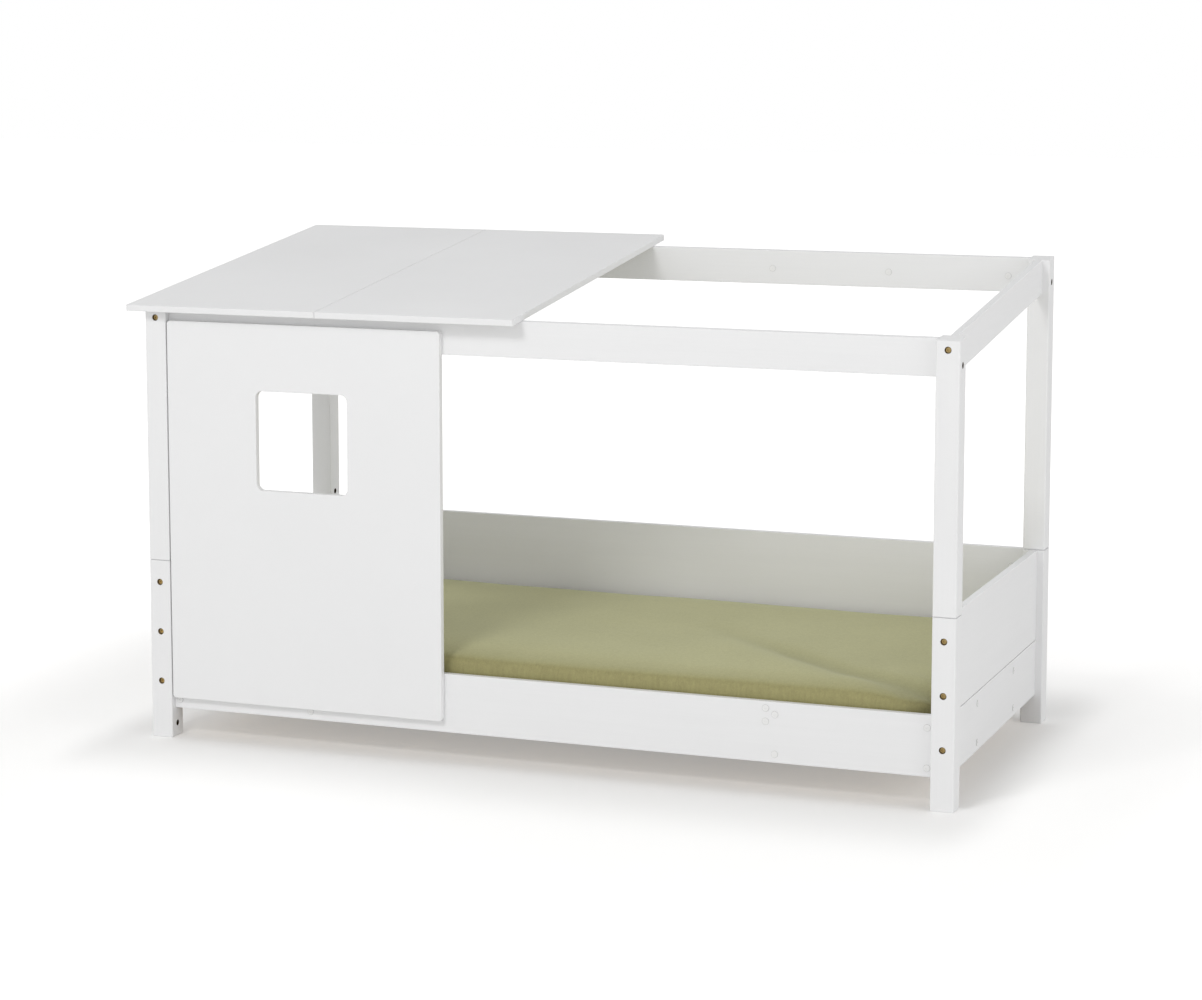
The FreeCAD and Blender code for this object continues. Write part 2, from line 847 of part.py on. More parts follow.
def slat(number, x):
    """A slat across the bed, lying on the two ledges."""
    length = d.bed_width - 2 * (inset + d.board_thick + d.slat_play)
    body = new_body(f"slat_{number:02d}")
    sketch = new_sketch(body, "front", 0, "cross_section")
    rectangle(sketch, -d.slat_width / 2, 0, d.slat_width, d.slat_thick)
    pad(body, sketch, length, both_ways=True)
    soften(body, "Fillet", d.slat_round, lies_along(1), "long_rounds")
    if number in (1, SLAT_COUNT):
        off = d.bed_width / 2 - inset - d.board_thick - d.ledge_depth / 2
        places = [(0, off), (0, -off)]
        top, wide, deep = d.slat_thick, d.screw_head_hole, d.screw_head_depth
        drill(body, "top", top, d.screw_hole, top, places, "screw_holes")
        drill(body, "top", top, wide, deep, places, "screw_heads")
    place(body, x, middle_y, slat_bottom)
    return keep(body)


def slat_ledge(side):
    """The batten behind a side rail that carries the slats."""
    _, y, turn = SIDES[side]
    inward = 1 if side == "front" else -1
    length = rail_length - 2 * d.ledge_play
    body = new_body(f"{side}_slat_ledge")
    sketch = new_sketch(body, "right", 0, "cross_section")
    rectangle(sketch, 0, 0, d.ledge_depth, d.ledge_height)
    pad(body, sketch, length, both_ways=True)
    soften(body, "Fillet", d.ledge_round, lies_along(0), "long_rounds")

    up = CAP_ROWS[0] - d.ledge_bottom
    places = [(sign * size(column), up) for column in CAP_COLUMNS for sign in (1, -1)]
    deep, seat = d.ledge_depth, d.ledge_head_depth
    drill(body, "back", deep, d.short_bolt_hole, deep, places, "bolt_holes")
    drill(body, "back", deep, d.ledge_head_hole, seat, places, "bolt_heads")
    ends = [slat_places()[0] - middle_x, slat_places()[-1] - middle_x]
    pilots = [(along, deep / 2) for along in ends]
    top, depth = d.ledge_height, d.slat_pilot_depth
    drill(body, "top", top, d.screw_thick, depth, pilots, "slat_screw_pilots")
    place(body, middle_x, y + inward * d.board_thick, d.ledge_bottom, turn)
    return keep(body)


def mattress():
    """The loose foam mattress, as a plain closed pad."""
    body = new_body("mattress")
    sketch = new_sketch(body, "top", 0, "outline")
    length, width = d.mattress_length, d.mattress_width
    rectangle(sketch, -length / 2, -width / 2, length, width)
    pad(body, sketch, d.mattress_thick)
    soften(body, "Fillet", d.mattress_corner, lies_along(2), "corners")
    upright = lies_along(2)
    soften(body, "Fillet", d.mattress_edge, lambda edge: not upright(edge), "edges")
    place(body, middle_x, middle_y, mattress_bottom)
    return keep(body)


# ---------------------------------------------------------------- fasteners


def turned(name, profile):
    """A turned piece about its Z axis, from a closed profile of radius and height."""
    body = new_body(name)
    sketch = new_sketch(body, "front", 0, "profile")
    polygon(sketch, profile)
    feature = body.newObject("PartDesign::Revolution", "turned")
    feature.Profile = sketch
    feature.ReferenceAxis = (sketch, ["V_Axis"])
    feature.Angle = 360
    body.Tip = feature
    DOC.recompute()
    return body


def rod(name, diameter, length, bore=None):
    """A plain round bar or tube from the origin along +Z."""
    outer = size(diameter) / 2
    inner = size(0) if bore is None else size(bore) / 2
    return turned(name, [(inner, 0), (outer, 0), (outer, length), (inner, length)])


def hex_socket(body, face_height, across, depth):
    """A hexagon socket sunk into a bolt's head, which looks to -Z."""
    sketch = new_sketch(body, "bottom", face_height, "hexagon")
    reach = size(across) / math.sqrt(3)
    corners = []
    for step in range(6):
        angle = math.radians(60 * step + 30)
        corners.append((reach * round(math.cos(angle), 6), reach * round(math.sin(angle), 6)))
    polygon(sketch, corners)
    cut(body, "bottom", sketch, depth, "socket")


def headed_bolt(name, thick, length, head, head_height, across):
    """A bolt along +Z with its head's underside at the origin."""
    radius, rim, top = size(thick) / 2, size(head) / 2, -size(head_height)
    bevel = head_height / 5
    profile = [
        (0, length),
        (radius, length),
        (radius, 0),
        (rim, 0),
        (rim, top + bevel),
        (rim - bevel, top),
        (0, top),
    ]
    body = turned(name, profile)
    hex_socket(body, head_height, across, head_height * d.socket_share)
    return body


def screw_shank(length):
    """The straight shank and the point of a wood screw, as part of a profile."""
    radius = d.screw_thick / 2 - 0.05
    return radius, [(radius, length - d.screw_tip), (0, length)]


def wood_screw(name, length):
    """A countersunk screw along +Z with the top of its head at the origin."""
    radius, shank = screw_shank(length)
    return turned(name, [(0, 0), (d.screw_head / 2, 0), (radius, d.screw_cone)] + shank)


def pan_screw(name, length):
    """A pan-head screw along +Z with its head's underside at the origin."""
    radius, shank = screw_shank(length)
    rim, high = d.pan_head / 2, d.pan_head_height
    head = [(0, -high), (rim * 2 / 3, -high), (rim, -high / 2), (rim, 0), (radius, 0)]
    return turned(name, head + shank)


def cross_drilled(name, diameter, length, hole):
    """A barrel nut along Z, middle at the origin, with its thread hole along X."""
    body = rod(name, diameter, length)
    drill(body, "right", size(diameter) / 2, hole, diameter, [(0, length / 2)], "thread")
    return body


def cam_body():
    """A cam housing: its face at the origin looking to -Z, open to its bolt along +X."""
    body = rod("cam_blank", d.cam_hole - d.cam_play, d.cam_depth - d.cam_play)
    edge = (d.cam_hole - d.cam_play) / 2
    way = d.cam_bolt_hole + d.cam_play
    drill(body, "right", edge, way, edge + 1, [(0, half_board)], "bolt_way")
    slot = new_sketch(body, "bottom", 0, "slot_outline")
    long, wide = d.cam_slot_length, d.cam_slot_width
    rectangle(slot, -long / 2, -wide / 2, long, wide)
    cut(body, "bottom", slot, d.cam_slot_depth, "screwdriver_slot")
    return body


def cover_cap():
    """A closing cap: a flat round flange on the surface and a plug in the hole below it."""
    stem, rim, high = d.cap_hole / 2 - 0.1, d.cap_wide / 2, d.cap_high
    edge, foot, dimple = d.cap_round, -d.cap_stem_length, d.cap_dimple / 2
    profile = [
        (0, foot),
        (stem, foot),
        (stem, 0),
        (rim, 0),
        (rim, high - edge),
        (rim - edge, high),
        (dimple, high),
        (dimple, high / 2),
        (0, high / 2),
    ]
    return turned("cap_blank", profile)


def bracket_blank(name, climb):
    """An angle bracket for a rail's inner face (+Y side) and the roof's underside above it.

    The roof climbs away from the rail where climb is 1 and falls where it is -1.
    """
    body = new_body(name)
    sketch = new_sketch(body, "right", 0, "profile")
    thick, arm, leg = d.bracket_thick, d.bracket_arm, d.bracket_leg
    slope = rise * climb
    outline = [
        (0, -leg),
        (thick, -leg),
        (thick, slope * thick - thick),
        (arm, slope * arm - thick),
        (arm, slope * arm),
        (0, 0),
    ]
    polygon(sketch, outline)
    pad(body, sketch, d.bracket_width, both_ways=True)
    leg_hole, arm_hole = [(0, -d.bracket_drop)], [(0, d.bracket_screw_in)]
    drill(body, "front", 0, d.short_bolt_hole, thick, leg_hole, "leg_hole")
    drill(body, "bottom", arm / 2, d.bracket_screw_hole, arm, arm_hole, "arm_hole")
    return body


def aim(direction, spin=0):
    """The rotation that turns +Z to a direction, after a spin about Z."""
    turn = FreeCAD.Rotation(Z_AXIS, FreeCAD.Vector(*direction))
    return turn.multiply(FreeCAD.Rotation(Z_AXIS, spin))


def at(x, y, z, rotation):
    """A placement at a point."""
    return FreeCAD.Placement(FreeCAD.Vector(float(x), float(y), float(z)), rotation)


def group(label, *sets):
    """One node of equal pieces: each set is a piece and the places where it stands."""
    solids = []
    for blank, places in sets:
        for where in places:
            copy = blank.Shape.copy()
            copy.Placement = where
            solids.append(copy)
    node = DOC.addObject("Part::Feature", label)
    node.Label = label
    node.Shape = Part.makeCompound(solids)
    return keep(node)


def corner_signs():
    """Each corner's post middle, and the inward direction along x and along y."""
    for corner, (x, y, _, _) in CORNERS.items():
        yield corner, x, y, (1 if "left" in corner else -1), (1 if "front" in corner else -1)


def bolts_and_nuts():
    """The long bolts through the posts and the barrel nuts in the boards' ends."""
    blank = headed_bolt(
        "long_bolt",
        d.bolt_thick,
        d.bolt_length,
        d.bolt_head,
        d.bolt_head_height,
        d.bolt_socket,
    )
    nut = cross_drilled("barrel_nut", d.barrel_wide, d.barrel_length, d.bolt_thick + 0.2)
    seat = half_post - d.bore_depth
    reach = half_post + d.barrel_in
    half_nut = d.barrel_length / 2
    low, top, nuts = [], [], []
    for _, x, y, inward_x, inward_y in corner_signs():
        along_x, along_y = aim((inward_x, 0, 0)), aim((0, inward_y, 0))
        for step in range(3):
            z = d.bolt_low + step * d.bolt_pitch
            low.append(at(x, y - inward_y * seat, z, along_y))
            nuts.append(at(x - half_nut, y + inward_y * reach, z, aim((1, 0, 0), 90)))
        z = roof_line(y) - d.y_bolt_drop
        top.append(at(x, y - inward_y * seat, z, along_y))
        nuts.append(at(x - half_nut, y + inward_y * reach, z, aim((1, 0, 0), 90)))
        z = roof_line(y) - d.x_bolt_drop
        top.append(at(x - inward_x * seat, y, z, along_x))
        nuts.append(at(x + inward_x * reach, y - half_nut, z, aim((0, 1, 0))))
    group("end_board_bolts", (blank, low))
    group("top_rail_bolts", (blank, top))
    group("barrel_nuts", (nut, nuts))


def post_joints():
    """The stud, insert and cross nut of each post joint."""
    insert = rod("insert_blank", d.insert_hole - 0.2, d.insert_depth - 2, d.stud_thick + 0.1)
    above = d.cross_up + d.cross_hole / 2
    below = d.insert_depth - 2
    stud = rod("stud_blank", d.stud_thick, above + below)
    long = d.cross_nut_length
    nut = cross_drilled("cross_nut", d.cross_hole - 0.4, long, d.stud_thick + 0.2)
    inserts, studs, nuts = [], [], []
    upward = FreeCAD.Rotation()
    for _, x, y, _, _ in corner_signs():
        inserts.append(at(x, y, d.joint_height - below, upward))
        studs.append(at(x, y, d.joint_height - below, upward))
        place_z = d.joint_height + d.cross_up
        nuts.append(at(x - long / 2, y, place_z, aim((1, 0, 0))))
    group("post_stud_inserts", (insert, inserts))
    group("post_studs", (stud, studs))
    group("post_cross_nuts", (nut, nuts))


def dowels():
    """Every wooden dowel: in the post joints, the boards' ends and the roof's seam."""
    blank = rod("dowel_blank", d.dowel_wide, d.dowel_length)
    half = d.dowel_length / 2
    seam = (d.roof_board_width + d.roof_gap) / 2
    places = []
    for corner, x, y, inward_x, inward_y in corner_signs():
        off = d.joint_dowel_off
        for sign in (1, -1):
            base = d.joint_height - half
            places.append(at(x + sign * off, y + sign * off, base, FreeCAD.Rotation()))
        along_x, along_y = aim((inward_x, 0, 0)), aim((0, inward_y, 0))
        heights = SIDE_DOWELS + (BACK_DOWELS if "rear" in corner else ())
        for z in heights:
            places.append(at(x + inward_x * (half_post - half), y, z, along_x))
        z = roof_line(y) - d.x_bolt_drop + TOP_DOWEL_STEP
        places.append(at(x + inward_x * (half_post - half), y, z, along_x))
        for z in (*END_LOW_DOWELS, END_UP_DOWEL):
            places.append(at(x, y + inward_y * (half_post - half), z, along_y))
        z = roof_line(y) - d.y_bolt_drop - TOP_DOWEL_STEP
        places.append(at(x, y + inward_y * (half_post - half), z, along_y))
    board = NODES["left_roof_board"]
    for along, up in roof_dowels():
        start = FreeCAD.Vector(float(seam - half), float(along), float(up))
        spot = board.Placement.multVec(start)
        places.append(FreeCAD.Placement(spot, aim((1, 0, 0))))
    group("wooden_dowels", (blank, places))


def cams():
    """The cam fittings of the side rails and the rear board, with their bolts."""
    housing = cam_body()
    bolt = rod("cam_bolt_blank", d.cam_bolt_hole - 0.2, d.cam_bolt_depth + d.cam_in + 0.5)
    housings, bolts = [], []
    for corner, x, y, inward_x, inward_y in corner_signs():
        heights = (CAM_LOW, CAM_HIGH) + (BACK_CAMS if "rear" in corner else ())
        for z in heights:
            start = half_post - d.cam_bolt_depth
            bolts.append(at(x + inward_x * start, y, z, aim((inward_x, 0, 0))))
            face_y = y + inward_y * half_board
            # the housing's face looks into the bed, and its open side to the post
            into = FreeCAD.Vector(0, -inward_y, 0)
            toward_post = FreeCAD.Vector(-inward_x, 0, 0)
            frame = FreeCAD.Rotation(toward_post, into.cross(toward_post), into, "ZXY")
            housings.append(at(x + inward_x * (half_post + d.cam_in), face_y, z, frame))
    group("rail_cams", (housing, housings))
    group("rail_cam_bolts", (bolt, bolts))


def side_point(side, along, depth, up):
    """A point of a side board's own frame, in the bed's frame."""
    x, y, turn = SIDES[side]
    frame = at(x, y, 0, FreeCAD.Rotation(Z_AXIS, turn))
    return frame.multVec(FreeCAD.Vector(float(along), float(depth), float(up)))


def outward(side, sign):
    """The rotation of a piece that looks out of a side board's outer or inner face."""
    turn = FreeCAD.Rotation(Z_AXIS, SIDES[side][2])
    return aim(tuple(turn.multVec(FreeCAD.Vector(0, sign, 0))))


def caps():
    """The white caps that close the drilled holes."""
    blank = cover_cap()
    rails, ends, tops = [], [], []
    holes = [(column, up) for column in CAP_COLUMNS for up in CAP_ROWS]
    holes += [(PANEL_PAIR_X, up) for up in PANEL_PAIR_Z]
    for side in ("front", "rear"):
        for column, up in holes:
            for sign in (1, -1):
                behind_panel = sign < 0 and up > DRIVING["panel_bottom"]
                if side == "front" and behind_panel:
                    continue
                point = side_point(side, sign * column, 0, up)
                rails.append(FreeCAD.Placement(point, outward(side, -1)))
    for side in ("left", "right"):
        for up in CAP_ROWS:
            for sign in (1, -1):
                point = side_point(side, sign * END_CAP_X, 0, up)
                ends.append(FreeCAD.Placement(point, outward(side, -1)))
    for side in ("front", "rear"):
        open_end = 1 if side == "front" else -1
        for column in BRACKET_COLUMNS:
            point = side_point(side, open_end * column, d.board_thick, bracket_height(side))
            tops.append(FreeCAD.Placement(point, outward(side, 1)))
    group("side_rail_caps", (blank, rails))
    group("end_board_caps", (blank, ends))
    group("top_rail_caps", (blank, tops))


def inner_face(side):
    """Place across the bed of a long rail's inner face."""
    return front + inset + d.board_thick if side == "front" else back - inset - d.board_thick


def bracket_height(side):
    """Height of the bracket holes in a long top rail."""
    return roof_line(inner_face(side)) - d.bracket_drop


def roof_fixings():
    """Angle brackets under the roof with their bolts, sleeve nuts and screws."""
    sleeve = rod("sleeve_blank", d.cap_hole - 0.1, d.sleeve_length, d.sleeve_bore)
    short = headed_bolt(
        "bracket_bolt_blank",
        d.short_bolt,
        d.bracket_bolt_length,
        d.bracket_bolt_head,
        d.short_head_height,
        d.short_socket,
    )
    screw = pan_screw("bracket_screw_blank", d.pan_screw_length)
    front_bracket = bracket_blank("front_bracket_blank", 1)
    rear_bracket = bracket_blank("rear_bracket_blank", -1)
    brackets = {"front": [], "rear": []}
    bolts, sleeves, screws = [], [], []
    for side in ("front", "rear"):
        covered = -1 if side == "front" else 1
        turn = FreeCAD.Rotation(Z_AXIS, SIDES[side][2])
        for column in BRACKET_COLUMNS:
            up = roof_line(inner_face(side))
            corner = side_point(side, covered * column, d.board_thick, up)
            brackets[side].append(FreeCAD.Placement(corner, turn))
            hole_up = bracket_height(side)
            face = side_point(side, covered * column, d.board_thick, hole_up)
            step = turn.multVec(FreeCAD.Vector(0, DRIVING["bracket_thick"], 0))
            bolts.append(FreeCAD.Placement(face + step, outward(side, -1)))
            sleeves.append(FreeCAD.Placement(face, outward(side, -1)))
    board = NODES["left_roof_board"]
    slope_up = board.Placement.Rotation.multVec(Z_AXIS)
    for column, along in arm_screws():
        local = FreeCAD.Vector(float(column - roof_board_x("left")), float(along), 0)
        point = board.Placement.multVec(local) - slope_up * DRIVING["bracket_thick"]
        screws.append(FreeCAD.Placement(point, aim(tuple(slope_up))))
    for side in ("front", "rear"):
        for column in CAP_COLUMNS:
            for sign in (1, -1):
                point = side_point(side, sign * column, d.board_thick, CAP_ROWS[0])
                sleeves.append(FreeCAD.Placement(point, outward(side, -1)))
    group(
        "roof_brackets",
        (front_bracket, brackets["front"]),
        (rear_bracket, brackets["rear"]),
    )
    group("roof_bracket_bolts", (short, bolts))
    group("roof_bracket_screws", (screw, screws))
    group("sleeve_nuts", (sleeve, sleeves))


def base_fixings():
    """Bolts of the slat ledges, screws of the end slats and screws of the wall panel."""
    seat = d.ledge_depth - d.ledge_head_depth
    bolt = headed_bolt(
        "ledge_bolt_blank",
        d.short_bolt,
        seat + d.thread_in_sleeve,
        d.ledge_bolt_head,
        d.short_head_height,
        d.short_socket,
    )
    bolts = []
    for side in ("front", "rear"):
        for column in CAP_COLUMNS:
            for sign in (1, -1):
                depth = d.board_thick + seat
                point = side_point(side, sign * column, depth, CAP_ROWS[0])
                bolts.append(FreeCAD.Placement(point, outward(side, -1)))
    group("slat_ledge_bolts", (bolt, bolts))

    screw = wood_screw("slat_screw_blank", d.slat_screw_length)
    top = slat_bottom + d.slat_thick
    down = aim((0, 0, -1))
    screws = []
    for x in (slat_places()[0], slat_places()[-1]):
        for side, inward in (("front", 1), ("rear", -1)):
            y = inner_face(side) + inward * d.ledge_depth / 2
            screws.append(at(x, y, top - d.screw_sunk, down))
    group("slat_screws", (screw, screws))

    panel_screw = wood_screw("panel_screw_blank", d.panel_screw_length)
    places = []
    for along in PANEL_SCREWS_X:
        for up in (PANEL_SCREWS_LOW, PANEL_SCREWS_HIGH):
            y = inner_face("front") - d.screw_sunk
            places.append(at(left + along, y, up, outward("front", -1)))
    group("wall_panel_screws", (panel_screw, places))


def slat_straps():
    """Two webbing straps that hold the slats at their spacing."""
    strap = DOC.addObject("Part::Box", "strap_blank")
    strap.setExpression("Length", (FIELD - 2 * d.strap_play).text)
    strap.setExpression("Width", d.strap_width.text)
    strap.setExpression("Height", d.strap_thick.text)
    DOC.recompute()
    x = left + d.post_side + d.field_play + d.strap_play
    z = slat_bottom + d.slat_thick
    rows = (front + d.strap_in, back - d.strap_in - d.strap_width)
    places = [at(x, y, z, FreeCAD.Rotation()) for y in rows]
    group("slat_straps", (strap, places))


# ---------------------------------------------------------------- the bed, put together


def build():
    """Make every sub-part."""
    for corner in CORNERS:
        lower_post(corner)
        upper_post(corner)
    for side in ("front", "rear"):
        side_rail(side)
        slat_ledge(side)
        long_top_rail(side)
    rear_board()
    for side in ("left", "right"):
        end_board(side, "lower")
        end_board(side, "upper")
        end_top_rail(side)
        roof_board(side)
    wall_panel()
    for number, x in enumerate(slat_places(), start=1):
        slat(number, x)
    slat_straps()
    mattress()
    bolts_and_nuts()
    post_joints()
    dowels()
    cams()
    caps()
    roof_fixings()
    base_fixings()


def check_and_write():
    """Stop if anything failed, then write one file for each sub-part."""
    DOC.recompute()
    for item in DOC.Objects:
        if {"Invalid", "Error"} & set(item.State):
            raise RuntimeError(f"{item.Name} failed: {item.State}")
    os.makedirs("parts", exist_ok=True)
    for label, item in NODES.items():
        shape = item.Shape
        if shape.isNull() or not shape.isValid() or not shape.Solids:
            raise RuntimeError(f"{label} has no valid solid")
        shape.exportStep(f"parts/{label}.step")
    print(len(NODES), "sub-parts written")


build()
check_and_write()
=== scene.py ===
"""A white house frame bed with a lean-to roof, a wall panel with a window and a loose mattress."""

import math
import bpy
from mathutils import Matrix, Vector, noise


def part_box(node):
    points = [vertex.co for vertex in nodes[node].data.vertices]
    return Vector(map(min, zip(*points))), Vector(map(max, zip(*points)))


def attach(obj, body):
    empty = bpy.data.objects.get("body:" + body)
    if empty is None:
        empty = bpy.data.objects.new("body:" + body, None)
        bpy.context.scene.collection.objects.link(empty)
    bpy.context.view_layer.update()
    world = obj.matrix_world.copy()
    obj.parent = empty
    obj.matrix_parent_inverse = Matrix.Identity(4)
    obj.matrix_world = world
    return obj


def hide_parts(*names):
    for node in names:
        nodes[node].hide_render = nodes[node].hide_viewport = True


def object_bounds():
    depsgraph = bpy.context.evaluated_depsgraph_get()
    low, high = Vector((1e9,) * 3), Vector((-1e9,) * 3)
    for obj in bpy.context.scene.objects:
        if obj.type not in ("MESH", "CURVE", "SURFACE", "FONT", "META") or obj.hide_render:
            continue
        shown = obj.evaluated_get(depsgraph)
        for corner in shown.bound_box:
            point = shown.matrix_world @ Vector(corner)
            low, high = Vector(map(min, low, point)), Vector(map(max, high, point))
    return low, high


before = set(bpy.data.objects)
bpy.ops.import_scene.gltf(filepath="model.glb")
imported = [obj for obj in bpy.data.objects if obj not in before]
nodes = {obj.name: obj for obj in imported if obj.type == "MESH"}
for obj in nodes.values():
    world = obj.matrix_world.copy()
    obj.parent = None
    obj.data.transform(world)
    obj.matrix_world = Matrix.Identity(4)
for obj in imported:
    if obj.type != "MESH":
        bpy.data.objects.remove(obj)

scene = bpy.context.scene
cad_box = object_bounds()


# ---- Camera -------------------------------------------------------------------------------
# Stands 7.6 m from the middle of the bed, off its right front corner and 0.6 m above the roof,
# and looks slightly down. The lens is shifted down so that the posts stay nearly upright.
LENS_MM = 89.22
SENSOR_MM = 36
LENS_SHIFT = -0.0998
CAMERA_PLACE = (2.6904, -7.0731, 1.8458)
CAMERA_DOWN = math.radians(7.088)
CAMERA_TURN = math.radians(20.8)

lens = bpy.data.cameras.new("camera")
lens.lens = LENS_MM
lens.sensor_width = SENSOR_MM
lens.shift_y = LENS_SHIFT
camera = bpy.data.objects.new("camera", lens)
camera.location = CAMERA_PLACE
camera.rotation_euler = (math.pi / 2 - CAMERA_DOWN, 0, CAMERA_TURN)
scene.collection.objects.link(camera)
scene.camera = camera


# ---- Floor, lamps and white surroundings --------------------------------------------------
# A studio sweep: a matt white floor under a white sky that is dimmer overhead, a softbox high
# in front, a weaker one low in front and a large one on the right. What the camera sees of
# the sky is plain white, and the floor goes to white away from the bed.
class Wire:
    """One socket in a node tree. Sums on wires add the nodes that work them out."""

    MATH = {"+": "ADD", "-": "SUBTRACT", "*": "MULTIPLY", "/": "DIVIDE", "**": "POWER"}

    def __init__(self, socket):
        self.socket = socket

    def node(self, kind, settings=None, inputs=None, out=0):
        """A new node with its settings, then its sockets' values or links. Gives one output."""
        tree = self.socket.id_data
        made = tree.nodes.new(kind)
        for name, value in (settings or {}).items():
            setattr(made, name, value)
        for name, value in (inputs or {}).items():
            into = next(s for s in made.inputs if name in (s.identifier, s.name))
            if isinstance(value, Wire):
                tree.links.new(value.socket, into)
            else:
                into.default_value = (*value, 1) if into.type == "RGBA" else value
        if isinstance(out, int):
            return Wire(made.outputs[out])
        return Wire(next(s for s in made.outputs if out in (s.identifier, s.name)))

    def work_out(self, sign, first, second):
        """A sum on two values, vectors or colours, where either side may be a plain one."""
        kinds = {
            side.socket.type if isinstance(side, Wire)
            else "VALUE" if isinstance(side, (int, float)) else "VECTOR"
            for side in (first, second)
        }
        if "RGBA" in kinds:
            return self.node(
                "ShaderNodeMix", {"data_type": "RGBA", "blend_type": self.MATH[sign]},
                {"Factor_Float": 1.0, "A_Color": first, "B_Color": second}, "Result_Color",
            )
        if "VECTOR" in kinds:
            return self.node(
                "ShaderNodeVectorMath", {"operation": self.MATH[sign]},
                {"Vector": first, "Vector_001": second},
            )
        return self.node(
            "ShaderNodeMath", {"operation": self.MATH[sign]}, {"Value": first, "Value_001": second}
        )

    def __add__(self, other):
        return self.work_out("+", self, other)

    def __radd__(self, other):
        return self.work_out("+", other, self)

    def __sub__(self, other):
        return self.work_out("-", self, other)

    def __rsub__(self, other):
        return self.work_out("-", other, self)

    def __mul__(self, other):
        return self.work_out("*", self, other)

    def __rmul__(self, other):
        return self.work_out("*", other, self)

    def __truediv__(self, other):
        return self.work_out("/", self, other)

    def __rtruediv__(self, other):
        return self.work_out("/", other, self)

    def __pow__(self, other):
        return self.work_out("**", self, other)

    def blend(self, start, end):
        """From the start colour to the end colour as this value goes from 0 to 1."""
        return self.node(
            "ShaderNodeMix", {"data_type": "RGBA"},
            {"Factor_Float": self, "A_Color": start, "B_Color": end}, "Result_Color",
        )

    def spread(self, low, high, new_low=0.0, new_high=1.0):
        """This value's stretch from low to high, laid over new_low to new_high and held there."""
        return self.node(
            "ShaderNodeMapRange", {"clamp": True, "interpolation_type": "SMOOTHSTEP"},
            {"Value": self, "From Min": low, "From Max": high,
             "To Min": new_low, "To Max": new_high},
        )

    def clouds(self, scale, detail=3.0, rough=0.5):
        """Cloudy noise, about 0.5 on average, at a place that this wire gives."""
        return self.node(
            "ShaderNodeTexNoise", {"noise_dimensions": "3D"},
            {"Vector": self, "Scale": scale, "Detail": detail, "Roughness": rough},
        )

    def math(self, operation, other=0.0):
        """Any other sum on one or two values, by its name."""
        return self.node(
            "ShaderNodeMath", {"operation": operation}, {"Value": self, "Value_001": other}
        )

    def part(self, letter):
        """The X, Y or Z part of a vector."""
        return self.node("ShaderNodeSeparateXYZ", None, {"Vector": self}, letter)

    def into(self, shader, name):
        """Links this wire to a shader's socket."""
        self.socket.id_data.links.new(self.socket, shader.inputs[name])


FLOOR_REACH = 30.0
FLOOR_TONE = (0.93, 0.92535, 0.91605)
FLOOR_ROUGH = 0.95
FLOOR_SPECULAR = 0.1
# How strongly the floor glows to the camera, and over which distances from the bed.
GLOW_BESIDE = 0.085
GLOW_ROUND, ROUND_FROM, ROUND_TO = 0.17, 0.02, 0.42
GLOW_FAR, FAR_FROM, FAR_TO = 0.22, 0.8, 2.6
GLOW_BACK, BACK_FROM, BACK_TO = 0.12, 0.45, 1.3
# The extra glow under the bed is painted light in its shade.
GLOW_UNDER = 0.23
UNDER_SIDE = (0.50, 0.36)
UNDER_END = (1.10, 0.92)
END_STRETCH = 2.6
SKY_LOW, SKY_HIGH = 0.94, 0.42
# Each softbox: its name, its place, its width and height in metres, and its power in watts.
SOFTBOXES = [
    ("front_softbox", (-0.95, -5.5, 4.6), (1.7, 1.3), 100.0),
    ("right_softbox", (5.6, -1.8, 2.1), (4.0, 3.0), 48.0),
    ("low_softbox", (-0.6, -6.5, 1.4), (3.0, 1.2), 8.0),
]
LAMP_AIM = Vector((0.0, 0.0, 0.5))

floor_mesh = bpy.data.meshes.new("floor")
floor_mesh.from_pydata(
    [(x * FLOOR_REACH, y * FLOOR_REACH, 0) for x, y in ((-1, -1), (1, -1), (1, 1), (-1, 1))],
    [], [(0, 1, 2, 3)],
)
floor = bpy.data.objects.new("floor", floor_mesh)
scene.collection.objects.link(floor)
floor_paint = bpy.data.materials.new("matt_white_floor")
floor_paint.use_nodes = True
floor_tree = floor_paint.node_tree
floor_shader = floor_tree.nodes["Principled BSDF"]
floor_shader.inputs["Base Color"].default_value = (*FLOOR_TONE, 1)
floor_shader.inputs["Roughness"].default_value = FLOOR_ROUGH
floor_shader.inputs["Specular IOR Level"].default_value = FLOOR_SPECULAR
seen = Wire(floor_tree.nodes.new("ShaderNodeLightPath").outputs["Is Camera Ray"])
spot = Wire(floor_tree.nodes.new("ShaderNodeTexCoord").outputs["Object"])
half_length, half_width = (spot.part(letter).math("ABSOLUTE") for letter in "XY")
past_end = END_STRETCH * (half_length - cad_box[1][0]).math("MAXIMUM", 0.0)
past_side = (half_width - cad_box[1][1]).math("MAXIMUM", 0.0)
away = (past_end * past_end + past_side * past_side) ** 0.5
# Painted light: the floor under the bed glows more to the camera, which lightens the shade beneath
# it.
painted_light_under_bed = half_width.spread(*UNDER_SIDE) * half_length.spread(*UNDER_END)
strength = seen * (
    GLOW_BESIDE + GLOW_ROUND * away.spread(ROUND_FROM, ROUND_TO)
    + GLOW_FAR * away.spread(FAR_FROM, FAR_TO) + GLOW_UNDER * painted_light_under_bed
    + GLOW_BACK * spot.part("Y").spread(BACK_FROM, BACK_TO)
)
glow = seen.node("ShaderNodeEmission", None, {"Strength": strength})
lit_floor = seen.node(
    "ShaderNodeAddShader", None, {"Shader": Wire(floor_shader.outputs[0]), "Shader_001": glow}
)
lit_floor.into(floor_tree.nodes["Material Output"], "Surface")
floor_mesh.materials.append(floor_paint)

